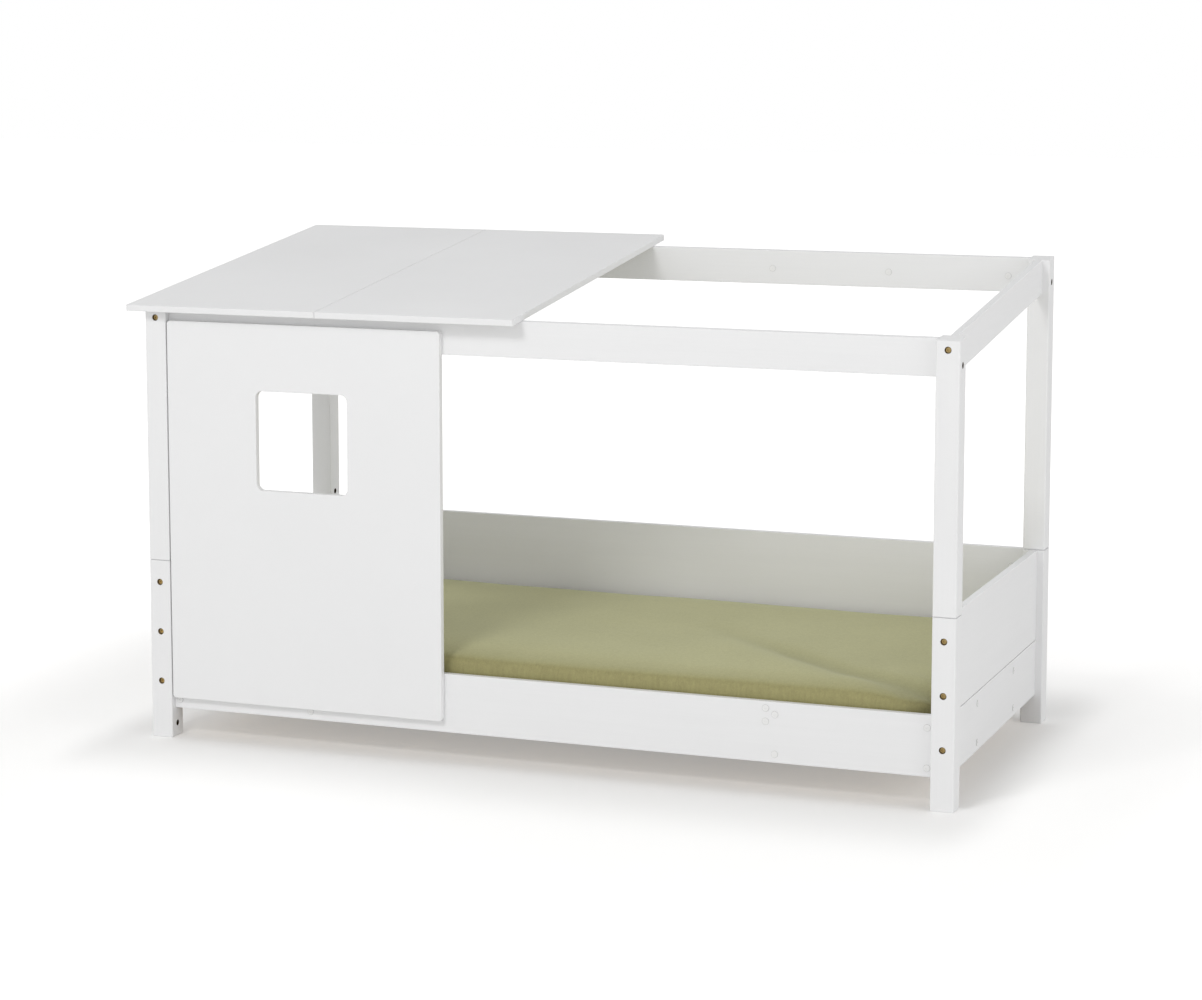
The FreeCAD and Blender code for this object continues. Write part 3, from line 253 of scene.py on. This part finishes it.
scene.world = bpy.data.worlds.new("white_studio")
scene.world.use_nodes = True
sky = scene.world.node_tree
sky_shader = sky.nodes["Background"]
sky_shader.inputs["Color"].default_value = (1, 1, 1, 1)
rays = sky.nodes.new("ShaderNodeLightPath")
straight, mirrored, through = (
    Wire(rays.outputs[name]) for name in ("Is Camera Ray", "Is Glossy Ray", "Is Transmission Ray")
)
plain = (straight + mirrored + through).math("MINIMUM", 1.0)
height = Wire(sky.nodes.new("ShaderNodeTexCoord").outputs["Generated"]).part("Z").math("MAXIMUM", 0.0)
lit = SKY_LOW + (SKY_HIGH - SKY_LOW) * height
(plain * (1 - lit) + lit).into(sky_shader, "Strength")

for name, place, (wide, high), watts in SOFTBOXES:
    softbox = bpy.data.lights.new(name, "AREA")
    softbox.shape = "RECTANGLE"
    softbox.size, softbox.size_y = wide, high
    softbox.energy = watts
    lamp = bpy.data.objects.new(name, softbox)
    lamp.location = place
    lamp.rotation_euler = (LAMP_AIM - Vector(place)).to_track_quat("-Z", "Y").to_euler()
    lamp.visible_camera = False
    scene.collection.objects.link(lamp)

scene.view_settings.view_transform = "Standard"


# ---- Posts --------------------------------------------------------------------------------
# Eight square lengths of solid pine, each post a lower and an upper one stud-bolted end to
# end, sanded, rounded along the edges and sprayed with white satin lacquer. The grain
# still tells faintly through the film. Painted shade darkens the walls inside their holes.
def new_finish(name):
    """A material, its shader, and a wire with the place on the object in metres."""
    material = bpy.data.materials.new(name)
    material.use_nodes = True
    tree = material.node_tree
    place = Wire(tree.nodes.new("ShaderNodeTexCoord").outputs["Object"])
    return material, tree.nodes["Principled BSDF"], place


def dress(node, material):
    """Gives a CAD node its material."""
    mesh = nodes[node].data
    mesh.materials.clear()
    mesh.materials.append(material)


def raise_bumps(shader, *layers):
    """Stacks bumps on a shader, each a height from 0 to 1 and its depth in metres."""
    under = None
    for height, depth in layers:
        inputs = {"Height": height, "Distance": depth, "Strength": 1.0}
        if under:
            inputs["Normal"] = under
        under = height.node("ShaderNodeBump", None, inputs)
    under.into(shader, "Normal")


LACQUER = (0.843, 0.845, 0.849)
# Painted shade: the walls inside the posts' holes are coloured near black, and less dark near the
# front face where the bolt heads sit.
BORE_SHADE_TONE = (0.045, 0.026, 0.012)
BOLT_BORE_SHADE_TONE = (0.24, 0.17, 0.085)
BOLT_BORE_DEEP = 0.0095
HOLE_EDGE = (0.0277, 0.0274)
GROOVE_EDGE = (0.003, 0.005)
END_EDGE = (0.0015, 0.0020)
POST_HALF = 0.0285
ROOF_SLOPE = math.tan(math.radians(6.8))


def in_holes(place):
    """1 on the walls inside a post's drilled holes, where shade is painted, and 0 on its faces and
    joint.
    """
    x, y, z = (place.part(letter) for letter in "XYZ")
    left, front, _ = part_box("front_left_upper_post")[0]
    right, back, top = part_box("rear_right_upper_post")[1]
    from_left = (x - (left + POST_HALF)).math("ABSOLUTE")
    from_right = (x - (right - POST_HALF)).math("ABSOLUTE")
    from_front = (y - (front + POST_HALF)).math("ABSOLUTE")
    from_back = (y - (back - POST_HALF)).math("ABSOLUTE")
    off_x = from_left.math("MINIMUM", from_right)
    off_y = from_front.math("MINIMUM", from_back)
    within = off_x.math("MAXIMUM", off_y).spread(*HOLE_EDGE)
    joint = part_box("front_left_lower_post")[1].z
    off_joint = (z - joint).math("ABSOLUTE").spread(*GROOVE_EDGE)
    under_roof = (top - ROOF_SLOPE * back + ROOF_SLOPE * y - z).spread(*END_EDGE)
    return within * under_roof * off_joint * z.spread(*END_EDGE)


def bore_shade_paint(place, paint):
    """Paint on a post's faces; in its holes the bare wood is painted near black for shade, less dark
    where a bolt head sits.
    """
    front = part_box("front_left_upper_post")[0].y
    shallow = (place.part("Y") - front).spread(BOLT_BORE_DEEP, BOLT_BORE_DEEP - 0.0005)
    return in_holes(place).blend(paint, shallow.blend(BORE_SHADE_TONE, BOLT_BORE_SHADE_TONE))


def lacquer(name, stretch, fibre=1.0, holes=False):
    """White satin lacquer over wood whose grain runs where stretch is small."""
    material, shader, place = new_finish(name)
    fibres = (place * stretch).clouds(1.0, 4.0, 0.62)
    bands = (place * tuple(0.16 * s for s in stretch)).clouds(1.0, 2.0)
    patches = place.clouds(3.2, 2.0)
    peel = place.clouds(420.0, 2.0)
    tone = 1 - fibre * 0.030 * (fibres - 0.5) - fibre * 0.030 * (bands - 0.5)
    tone = tone - 0.024 * (patches - 0.5)
    paint = tone * LACQUER
    # The walls of the holes get painted shade.
    if holes:
        paint = bore_shade_paint(place, paint)
    paint.into(shader, "Base Color")
    (0.40 + 0.10 * (fibres - 0.5) + 0.12 * (patches - 0.5)).into(shader, "Roughness")
    shader.inputs["Specular IOR Level"].default_value = 0.4
    raise_bumps(shader, (peel, 0.00002), (fibres, 0.00006 * fibre))
    return material


along_x = lacquer("white_lacquer_along_x", (5.0, 170.0, 170.0))
along_y = lacquer("white_lacquer_along_y", (170.0, 5.0, 170.0))
along_z = lacquer("white_lacquer_along_z", (170.0, 170.0, 5.0), holes=True)
for corner in ("front_left", "front_right", "rear_left", "rear_right"):
    for length in ("lower", "upper"):
        dress(f"{corner}_{length}_post", along_z)


# ---- Side rails, end boards and top rails -------------------------------------------------
# Planed boards of solid pine in the same lacquer, with softly rounded edges. The rails are
# drilled at both ends so that the bed can be put together either way round.
for node in (
    "front_side_rail", "rear_side_rail", "rear_upper_board", "front_top_rail", "rear_top_rail",
):
    dress(node, along_x)
for side in ("left", "right"):
    for node in ("lower_end_board", "upper_end_board", "top_rail"):
        dress(f"{side}_{node}", along_y)


# ---- Wall panel and roof boards -----------------------------------------------------------
# Smooth sheets of fibreboard with no grain, cut to shape with a square window, edges eased
# and sprayed white all round. The roof is two such boards side by side.
sheet_lacquer = lacquer("white_lacquer_on_fibreboard", (60.0, 60.0, 60.0), 0.35)
for node in ("wall_panel", "left_roof_board", "right_roof_board"):
    dress(node, sheet_lacquer)


# ---- Slats and ledges ---------------------------------------------------------------------
# Fourteen planed slats of bare pine that lie across two bare pine ledges, which are bolted
# to the side rails. Flat-sawn faces show growth rings as long arches, with a few knots.
PINE_LIGHT = (0.80, 0.63, 0.41)
PINE_DARK = (0.62, 0.40, 0.20)
PINE_KNOT = (0.26, 0.12, 0.05)
RING_GAP = 0.0042
LEDGE_PITCH = 0.37


def bare_pine(name, across, along, pitch):
    """Unfinished pine whose boards repeat every pitch metres across, each with its own rings."""
    material, shader, place = new_finish(name)
    side, length, height = place.part(across), place.part(along), place.part("Z")
    board = (side / pitch).math("FLOOR")
    chance = board.node("ShaderNodeTexWhiteNoise", {"noise_dimensions": "1D"}, {"W": board}, "Value")
    off = side - (board + 0.2 + 0.6 * chance) * pitch
    deep = height - 0.05 + 0.05 * chance
    flow = board.node(
        "ShaderNodeCombineXYZ", None, {"X": off * 9.0, "Y": length * 1.6 + board * 3.7, "Z": chance}
    )
    wander = flow.clouds(1.0, 2.0) - 0.5
    cells = board.node(
        "ShaderNodeCombineXYZ", None, {"X": side * 8.0, "Y": length * 2.6 + board * 5.3, "Z": 0.0}
    )
    knot = cells.node(
        "ShaderNodeTexVoronoi", {"voronoi_dimensions": "2D"},
        {"Vector": cells, "Scale": 1.0}, "Distance",
    )
    near_knot = knot.spread(0.34, 0.0)
    reach = (off * off + deep * deep) ** 0.5 + 0.034 * wander + 0.012 * near_knot
    turn = (reach / RING_GAP).math("FRACT")
    ring = turn.spread(0.35, 0.9) * (1 - turn.spread(0.9, 1.0))
    fibres = board.node(
        "ShaderNodeCombineXYZ", None, {"X": side * 420.0, "Y": length * 8.0, "Z": height * 420.0}
    )
    fleck = fibres.clouds(1.0, 3.0)
    wood = (0.55 * ring + 0.35 * (fleck - 0.5) + 0.18 * chance).blend(PINE_LIGHT, PINE_DARK)
    heart = knot.spread(0.085, 0.05)
    heart.blend(wood, PINE_KNOT).into(shader, "Base Color")
    (0.72 - 0.12 * ring).into(shader, "Roughness")
    shader.inputs["Specular IOR Level"].default_value = 0.3
    raise_bumps(shader, (fleck, 0.00015), (ring, 0.00012))
    return material


first, second = (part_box(f"slat_{number:02d}")[0].x for number in (1, 2))
slat_pine = bare_pine("bare_pine_slats", "X", "Y", second - first)
for number in range(1, 15):
    dress(f"slat_{number:02d}", slat_pine)
ledge_pine = bare_pine("bare_pine_ledges", "Y", "X", LEDGE_PITCH)
for side in ("front", "rear"):
    dress(f"{side}_slat_ledge", ledge_pine)


# ---- Slat straps --------------------------------------------------------------------------
# Two flat woven polyester tapes that keep the slats at their spacing, stapled to every slat
# with small wire staples.
STRAP_TONE = (0.78, 0.76, 0.70)
STRAP_SHADE = 0.82
THREAD = 0.0011
THREAD_LONG = 1.6

material, shader, place = new_finish("woven_tape")
warp = (place.part("Y") * (2 * math.pi / THREAD)).math("SINE")
weft = (place.part("X") * (2 * math.pi / (THREAD * THREAD_LONG))).math("SINE")
weave = 0.5 + 0.5 * warp * weft
weave.blend(tuple(STRAP_SHADE * c for c in STRAP_TONE), STRAP_TONE).into(shader, "Base Color")
shader.inputs["Roughness"].default_value = 0.85
raise_bumps(shader, (weave, 0.0002))
dress("slat_straps", material)


# ---- Steel fittings -----------------------------------------------------------------------
# Studs, inserts, cross nuts, cams, brackets, screws and sleeve nuts of bright zinc-plated
# steel, drawn and turned, so the plating is slightly cloudy.
STEEL_TONES = (0.66, 0.67, 0.69), (0.56, 0.57, 0.60)
STEEL_ROUGH = 0.34


def plated(name, tone, cloud_tone, rough):
    """Zinc plating: a bare metal with cloudy patches and fine scratches."""
    material, shader, place = new_finish(name)
    cloud = place.clouds(160.0, 3.0)
    scratch = (place * (900.0, 900.0, 90.0)).clouds(1.0, 2.0)
    cloud.blend(tone, cloud_tone).into(shader, "Base Color")
    (rough + 0.16 * (cloud - 0.5) + 0.12 * (scratch - 0.5)).into(shader, "Roughness")
    shader.inputs["Metallic"].default_value = 1.0
    raise_bumps(shader, (scratch, 0.00001))
    return material


steel = plated("bright_zinc_steel", *STEEL_TONES, STEEL_ROUGH)
for node in (
    "post_stud_inserts", "post_studs", "post_cross_nuts", "rail_cams", "rail_cam_bolts",
    "roof_brackets", "roof_bracket_bolts", "roof_bracket_screws", "sleeve_nuts",
    "slat_ledge_bolts", "slat_screws", "wall_panel_screws",
):
    dress(node, steel)


# ---- Strap staples ------------------------------------------------------------------------
# Two bright wire staples through each strap into each slat. Only the flat crown of the wire
# shows, pressed into the tape.
STAPLE_WIRE = 0.0007
STAPLE_WIDE = 0.010
STAPLE_PAIR = 0.024
STRAP_MIDDLES = (-0.3725, 0.3525)
WIRE_SIDES = 8
WIRE_BENDS = (-0.5, -0.42, 0.42, 0.5)

points, faces = [], []
straps_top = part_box("slat_straps")[1].z
for number in range(1, 15):
    slat_low, slat_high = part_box(f"slat_{number:02d}")
    for strap_y in STRAP_MIDDLES:
        for side in (-1, 1):
            x = (slat_low.x + slat_high.x + side * STAPLE_PAIR) / 2
            start = len(points)
            for share in WIRE_BENDS:
                drop = STAPLE_WIRE / 2 if abs(share) == 0.5 else 0.0
                for turn in range(WIRE_SIDES):
                    angle = 2 * math.pi * turn / WIRE_SIDES
                    points.append((
                        x + math.cos(angle) * STAPLE_WIRE / 2,
                        strap_y + share * STAPLE_WIDE,
                        straps_top + math.sin(angle) * STAPLE_WIRE / 2 - drop,
                    ))
            for ring in range(len(WIRE_BENDS) - 1):
                for turn in range(WIRE_SIDES):
                    near, far = start + ring * WIRE_SIDES, start + (ring + 1) * WIRE_SIDES
                    on = (turn + 1) % WIRE_SIDES
                    faces.append((near + turn, near + on, far + on, far + turn))
            last = len(points) - WIRE_SIDES
            faces.append(tuple(range(start, start + WIRE_SIDES)))
            faces.append(tuple(range(len(points) - 1, last - 1, -1)))
staple_mesh = bpy.data.meshes.new("strap_staples")
staple_mesh.from_pydata(points, [], faces)
staple_mesh.materials.append(steel)
staples = bpy.data.objects.new("strap_staples", staple_mesh)
scene.collection.objects.link(staples)
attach(staples, "frame")


# ---- Bolts and barrel nuts ----------------------------------------------------------------
# Long hexagon-socket furniture bolts sunk in the posts, and the barrel nuts they pull on, in
# yellow-passivated zinc, which goes from gold to a greenish brass.
YELLOW_TONES = (0.47, 0.33, 0.13), (0.38, 0.29, 0.14)
YELLOW_ROUGH = 0.36

yellow_zinc = plated("yellow_zinc", *YELLOW_TONES, YELLOW_ROUGH)
for node in ("end_board_bolts", "top_rail_bolts", "barrel_nuts"):
    dress(node, yellow_zinc)


# ---- Wooden dowels ------------------------------------------------------------------------
# Turned beech dowels, dry-fitted in the post joints, the ends of the rails and boards, and the
# seam of the roof. Beech is pink brown with short dark flecks.
BEECH_TONES = (0.76, 0.59, 0.41), (0.60, 0.42, 0.27)

material, shader, place = new_finish("beech")
fleck = (place * (900.0, 900.0, 900.0)).clouds(1.0, 2.0)
streak = (place * (60.0, 60.0, 60.0)).clouds(1.0, 3.0)
(0.6 * fleck + 0.4 * streak).blend(*BEECH_TONES).into(shader, "Base Color")
shader.inputs["Roughness"].default_value = 0.65
raise_bumps(shader, (fleck, 0.00008))
dress("wooden_dowels", material)


# ---- Cover caps ---------------------------------------------------------------------------
# Moulded white plastic caps pressed into the spare drilled holes of the rails and end boards,
# with a low rounded rim and a small dimple in the middle.
CAP_TONES = (0.82, 0.82, 0.815), (0.86, 0.86, 0.855)
# A painted shadow line round the caps' rims.
CAP_RIM_SHADE = (0.50, 0.50, 0.495)


def cap_plastic(name, axis):
    """White plastic for caps that face along one axis, with a painted shadow line round the rim."""
    material, shader, place = new_finish(name)
    mist = place.clouds(900.0, 2.0)
    facing = place.node("ShaderNodeNewGeometry", None, None, "Normal").part(axis).math("ABSOLUTE")
    # Painted shade: where the surface turns away from the cap's axis, round the rim, it is coloured
    # darker.
    rim = facing.spread(0.97, 0.85)
    rim.blend(mist.blend(*CAP_TONES), CAP_RIM_SHADE).into(shader, "Base Color")
    (0.36 + 0.1 * (mist - 0.5)).into(shader, "Roughness")
    raise_bumps(shader, (mist, 0.00001))
    return material


dress("side_rail_caps", cap_plastic("white_cap_plastic_facing_y", "Y"))
dress("top_rail_caps", nodes["side_rail_caps"].data.materials[0])
dress("end_board_caps", cap_plastic("white_cap_plastic_facing_x", "X"))


# ---- Cam caps -----------------------------------------------------------------------------
# Thin white plastic caps, of the same moulding, that snap over the cam fittings on the inner
# faces of the side rails and the rear board.
CAM_CAP_PROFILE = [(0.0060, 0.0012), (0.0076, 0.0010), (0.0083, 0.0006), (0.0085, 0.0)]
CAM_IN = 0.034
CAP_SIDES = 32
# Each board with cams, the way its inner face looks along Y, and the cams' heights.
CAMS = [
    ("front_side_rail", 1, (0.128, 0.176)), ("rear_side_rail", -1, (0.128, 0.176)),
    ("rear_upper_board", -1, (0.272, 0.408)),
]

points, faces = [], []
for node, faces_to, heights in CAMS:
    rail_low, rail_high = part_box(node)
    inner = rail_high.y if faces_to > 0 else rail_low.y
    for x in (rail_low.x + CAM_IN, rail_high.x - CAM_IN):
        for z in heights:
            start = len(points)
            for radius, proud in CAM_CAP_PROFILE:
                for turn in range(CAP_SIDES):
                    angle = faces_to * 2 * math.pi * turn / CAP_SIDES
                    points.append((
                        x + radius * math.sin(angle),
                        inner + faces_to * proud,
                        z + radius * math.cos(angle),
                    ))
            for ring in range(len(CAM_CAP_PROFILE) - 1):
                for turn in range(CAP_SIDES):
                    near, far = start + ring * CAP_SIDES, start + (ring + 1) * CAP_SIDES
                    on = (turn + 1) % CAP_SIDES
                    faces.append((near + turn, far + turn, far + on, near + on))
            foot = len(points) - CAP_SIDES
            faces.append(tuple(range(start, start + CAP_SIDES)))
            faces.append(tuple(range(len(points) - 1, foot - 1, -1)))
cap_mesh = bpy.data.meshes.new("cam_caps")
cap_mesh.from_pydata(points, [], faces)
cap_mesh.materials.append(nodes["side_rail_caps"].data.materials[0])
cam_caps = bpy.data.objects.new("cam_caps", cap_mesh)
scene.collection.objects.link(cam_caps)
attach(cam_caps, "frame")


# ---- Mattress -----------------------------------------------------------------------------
# A foam mattress in a close-fitting olive green velour cover, laid loose on the slats between
# the rails. The top is slightly crowned and soft at the edges, and has been sat on at the
# right, which left a shallow valley running out to the right front corner.
# The cover's colour comes as a lit copy for the top and a shaded copy for the sides: painted light
# and shade.
COVER_SIDE_SHADED = (0.322, 0.298, 0.140)
COVER_TOP_LIT = (0.482, 0.469, 0.260)
COVER_SHEEN = (0.92, 0.95, 0.76)
VOXEL = 0.011
START_IN = 0.006
PRESSURE = 4.0
CLOTH_FRAMES = 20
HELD_UP_TO = 0.002
MOST_SWELL = 0.009
SIDE_ROOM = 0.0045
PROUD = 0.002
OVER_SLATS = 0.0006
NEW_CORNER = 0.045
WORN_CORNER = 0.095
VALLEY = [Vector(point) for point in (
    (0.26, 0.06), (0.47, -0.11), (0.61, -0.215), (0.75, -0.315), (0.87, -0.36), (1.0, -0.41),
)]
VALLEY_STARTS = 0.35
RIDGE_LINE, RIDGE_LEAN = (0.75, -0.315), 0.74

low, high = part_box("mattress")
middle = (low + high) / 2
half = (high - low) / 2


def applied(piece):
    """A mesh of the piece with its modifiers worked in."""
    bpy.context.view_layer.update()
    return bpy.data.meshes.new_from_object(piece.evaluated_get(bpy.context.evaluated_depsgraph_get()))


def settle(source):
    """The mattress as a skin of even squares that is blown up a little like cloth."""
    body = bpy.data.objects.new("mattress_start", source)
    scene.collection.objects.link(body)
    remesh = body.modifiers.new("even_skin", "REMESH")
    remesh.mode, remesh.voxel_size = "VOXEL", VOXEL
    skin = applied(body)
    body.modifiers.clear()
    body.data = skin
    rest = [vertex.co.copy() for vertex in skin.vertices]
    held = body.vertex_groups.new(name="held")
    held.add([v.index for v in skin.vertices if v.co.z < low.z + HELD_UP_TO], 1.0, "REPLACE")
    cloth = body.modifiers.new("cloth", "CLOTH")
    cloth.settings.use_pressure = True
    cloth.settings.uniform_pressure_force = PRESSURE
    cloth.settings.effector_weights.gravity = 0.0
    cloth.settings.vertex_group_mass = "held"
    cloth.settings.quality = 5
    cloth.point_cache.frame_end = CLOTH_FRAMES
    for moment in range(1, CLOTH_FRAMES + 1):
        scene.frame_set(moment)
    blown = applied(body)
    for vertex, start in zip(blown.vertices, rest):
        moved = vertex.co - start
        vertex.co = start + moved * min(1.0, MOST_SWELL / max(moved.length, 1e-9))
    body.modifiers.clear()
    body.data = blown
    scene.frame_set(1)
    return body


def valley_near(place):
    """How far a place is from the valley line, and how far along the line it is, 0 to 1."""
    best, along = 9.0, 0.0
    for number, (start, end) in enumerate(zip(VALLEY, VALLEY[1:])):
        run = end - start
        share = max(0.0, min(1.0, (place - start).dot(run) / run.length_squared))
        gap = (place - start - share * run).length
        if gap < best:
            best, along = gap, (number + share) / (len(VALLEY) - 1)
    return best, along


def soft_top(x, y):
    """Height of the crowned, used top over a flat one."""
    front_edge = y - low.y
    other_edge = min(x - low.x, high.x - x, high.y - y)
    lift = 0.0012 + 0.0052 * (0.8 - x)
    crown = 0.003 * (1 - math.exp(-max(min(front_edge, other_edge), 0) / 0.09))
    front_shoulder = -0.007 * max(0.0, 1 - front_edge / 0.16) ** 2
    other_shoulder = -0.006 * max(0.0, 1 - other_edge / 0.06) ** 2
    fill = 0.004 * math.exp(-(front_edge / 0.02) ** 2)
    long_waves = 0.0030 * noise.noise(Vector((x * 2.3, y * 3.1, 4.0)))
    short_waves = 0.0012 * noise.noise(Vector((x * 6, y * 7, 9.0)))
    gap, along = valley_near(Vector((x, y)))
    fade = min(1.0, along / VALLEY_STARTS)
    valley = -0.0125 * fade * math.exp(-(gap / 0.036) ** 2)
    in_front = y < RIDGE_LINE[1] + RIDGE_LEAN * (RIDGE_LINE[0] - x)
    ridge = 0.0030 * fade * math.exp(-((gap - 0.085) / 0.05) ** 2) if in_front else 0.0
    corner = math.hypot(high.x - x, y - low.y)
    sunk = -0.015 * math.exp(-(corner / 0.12) ** 2)
    edges = front_shoulder + other_shoulder + fill
    return lift + crown + edges + long_waves + short_waves + valley + ridge + sunk


def round_corner(x, y):
    """The right front corner, worn rounder than the rest: a place on it moves in."""
    along, back = x - (high.x - WORN_CORNER), (low.y + WORN_CORNER) - y
    if along <= 0 or back <= 0:
        return x, y
    reach, most, least = math.hypot(along, back), max(along, back), min(along, back)
    edge = WORN_CORNER * reach / most
    if WORN_CORNER * least / most > WORN_CORNER - NEW_CORNER:
        inner = WORN_CORNER - NEW_CORNER
        slant = inner * (most + least) / reach
        edge = slant + math.sqrt(max(slant ** 2 - 2 * inner ** 2 + NEW_CORNER ** 2, 0))
    pull = min(1.0, WORN_CORNER / edge)
    pull = 1 - (1 - pull) * (reach / edge) ** 2
    return high.x - WORN_CORNER + along * pull, low.y + WORN_CORNER - back * pull


mattress_mesh = nodes["mattress"].data.copy()
mattress_mesh.materials.clear()
for vertex in mattress_mesh.vertices:
    off = vertex.co - middle
    vertex.co.x = middle.x + off.x * (1 - START_IN / half.x)
    vertex.co.y = middle.y + off.y * (1 - START_IN / half.y)
    if off.z > 0:
        vertex.co.z -= START_IN
mattress = settle(mattress_mesh)
mattress.name = "foam_mattress"
for axis in (0, 1):
    spots = [vertex.co[axis] for vertex in mattress.data.vertices]
    least, most = min(spots), max(spots)
    grow = (high[axis] - low[axis] + 2 * PROUD) / (most - least)
    for vertex in mattress.data.vertices:
        vertex.co[axis] = low[axis] - PROUD + (vertex.co[axis] - least) * grow
straps_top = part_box("slat_straps")[1].z
for vertex in mattress.data.vertices:
    vertex.co.x, vertex.co.y = round_corner(vertex.co.x, vertex.co.y)
    x, y, z = vertex.co
    rise = max(0.0, min(1.0, (z - low.z) / (high.z - low.z)))
    vertex.co.z += soft_top(x, y) * rise ** 2
    vertex.co.z = max(vertex.co.z, straps_top + OVER_SLATS)
    vertex.co.x = max(low.x - SIDE_ROOM, min(high.x + SIDE_ROOM, vertex.co.x))
    vertex.co.y = max(low.y - SIDE_ROOM, min(high.y + SIDE_ROOM, vertex.co.y))
smooth = mattress.modifiers.new("finer", "SUBSURF")
smooth.levels = smooth.render_levels = 1
fine = applied(mattress)
mattress.modifiers.clear()
mattress.vertex_groups.clear()
mattress.data = fine
for face in fine.polygons:
    face.use_smooth = True
# Painted shade: a mask that darkens the cover along the valley and round the right front corner.
pressed = fine.attributes.new("painted_corner_and_valley_shade", "FLOAT", "POINT")
for vertex in fine.vertices:
    gap, along = valley_near(vertex.co.xy)
    corner = math.hypot(high.x - vertex.co.x, vertex.co.y - low.y)
    along_valley = min(1.0, along / VALLEY_STARTS) * math.exp(-(gap / 0.035) ** 2)
    pressed.data[vertex.index].value = along_valley + math.exp(-(corner / 0.13) ** 2)

material, shader, place = new_finish("olive_velour")
facing = place.node("ShaderNodeNewGeometry", None, None, "Normal").part("Z")
from_end = (middle.x - place.part("X")).math("ABSOLUTE")
from_side = (middle.y - place.part("Y")).math("ABSOLUTE")
from_edge = (half.x - from_end).math("MINIMUM", half.y - from_side)
# Painted light and shade: facing up and away from the edges, the cover takes the lit top colour;
# elsewhere it takes the shaded side colour.
lit_top_mask = facing.spread(0.68, 0.995) * from_edge.spread(-0.005, 0.095, 0.5, 1.0)
pile = place.clouds(900.0, 2.0)
grain = place.clouds(300.0, 3.0, 0.7)
mottle = place.clouds(110.0, 3.0, 0.6)
patch = place.clouds(4.5, 3.0)
streaks = (place * (190.0, 190.0, 14.0)).clouds(1.0, 3.0)
# This mask darkens the cover's colour, as painted shade.
corner_and_valley_shade = place.node("ShaderNodeAttribute", {"attribute_name": "painted_corner_and_valley_shade"}, None, "Fac")
# The tone also rises towards the right end, by 0.07 per metre in x, as painted light.
tone = 1 + 0.20 * (pile - 0.5) + 0.34 * (grain - 0.5)
tone = tone + 0.20 * (mottle - 0.5) + 0.16 * (patch - 0.5)
tone = tone + (1 - lit_top_mask) * 0.34 * (streaks - 0.5) - 0.17 * corner_and_valley_shade + 0.07 * place.part("X")
(tone * lit_top_mask.blend(COVER_SIDE_SHADED, COVER_TOP_LIT)).into(shader, "Base Color")
(0.88 + 0.1 * (pile - 0.5)).into(shader, "Roughness")
shader.inputs["Specular IOR Level"].default_value = 0.15
shader.inputs["Sheen Weight"].default_value = 0.28
shader.inputs["Sheen Roughness"].default_value = 0.45
shader.inputs["Sheen Tint"].default_value = (*COVER_SHEEN, 1)
raise_bumps(shader, (mottle, 0.0006), (grain, 0.0003))
fine.materials.clear()
fine.materials.append(material)
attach(mattress, "mattress")
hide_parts("mattress")
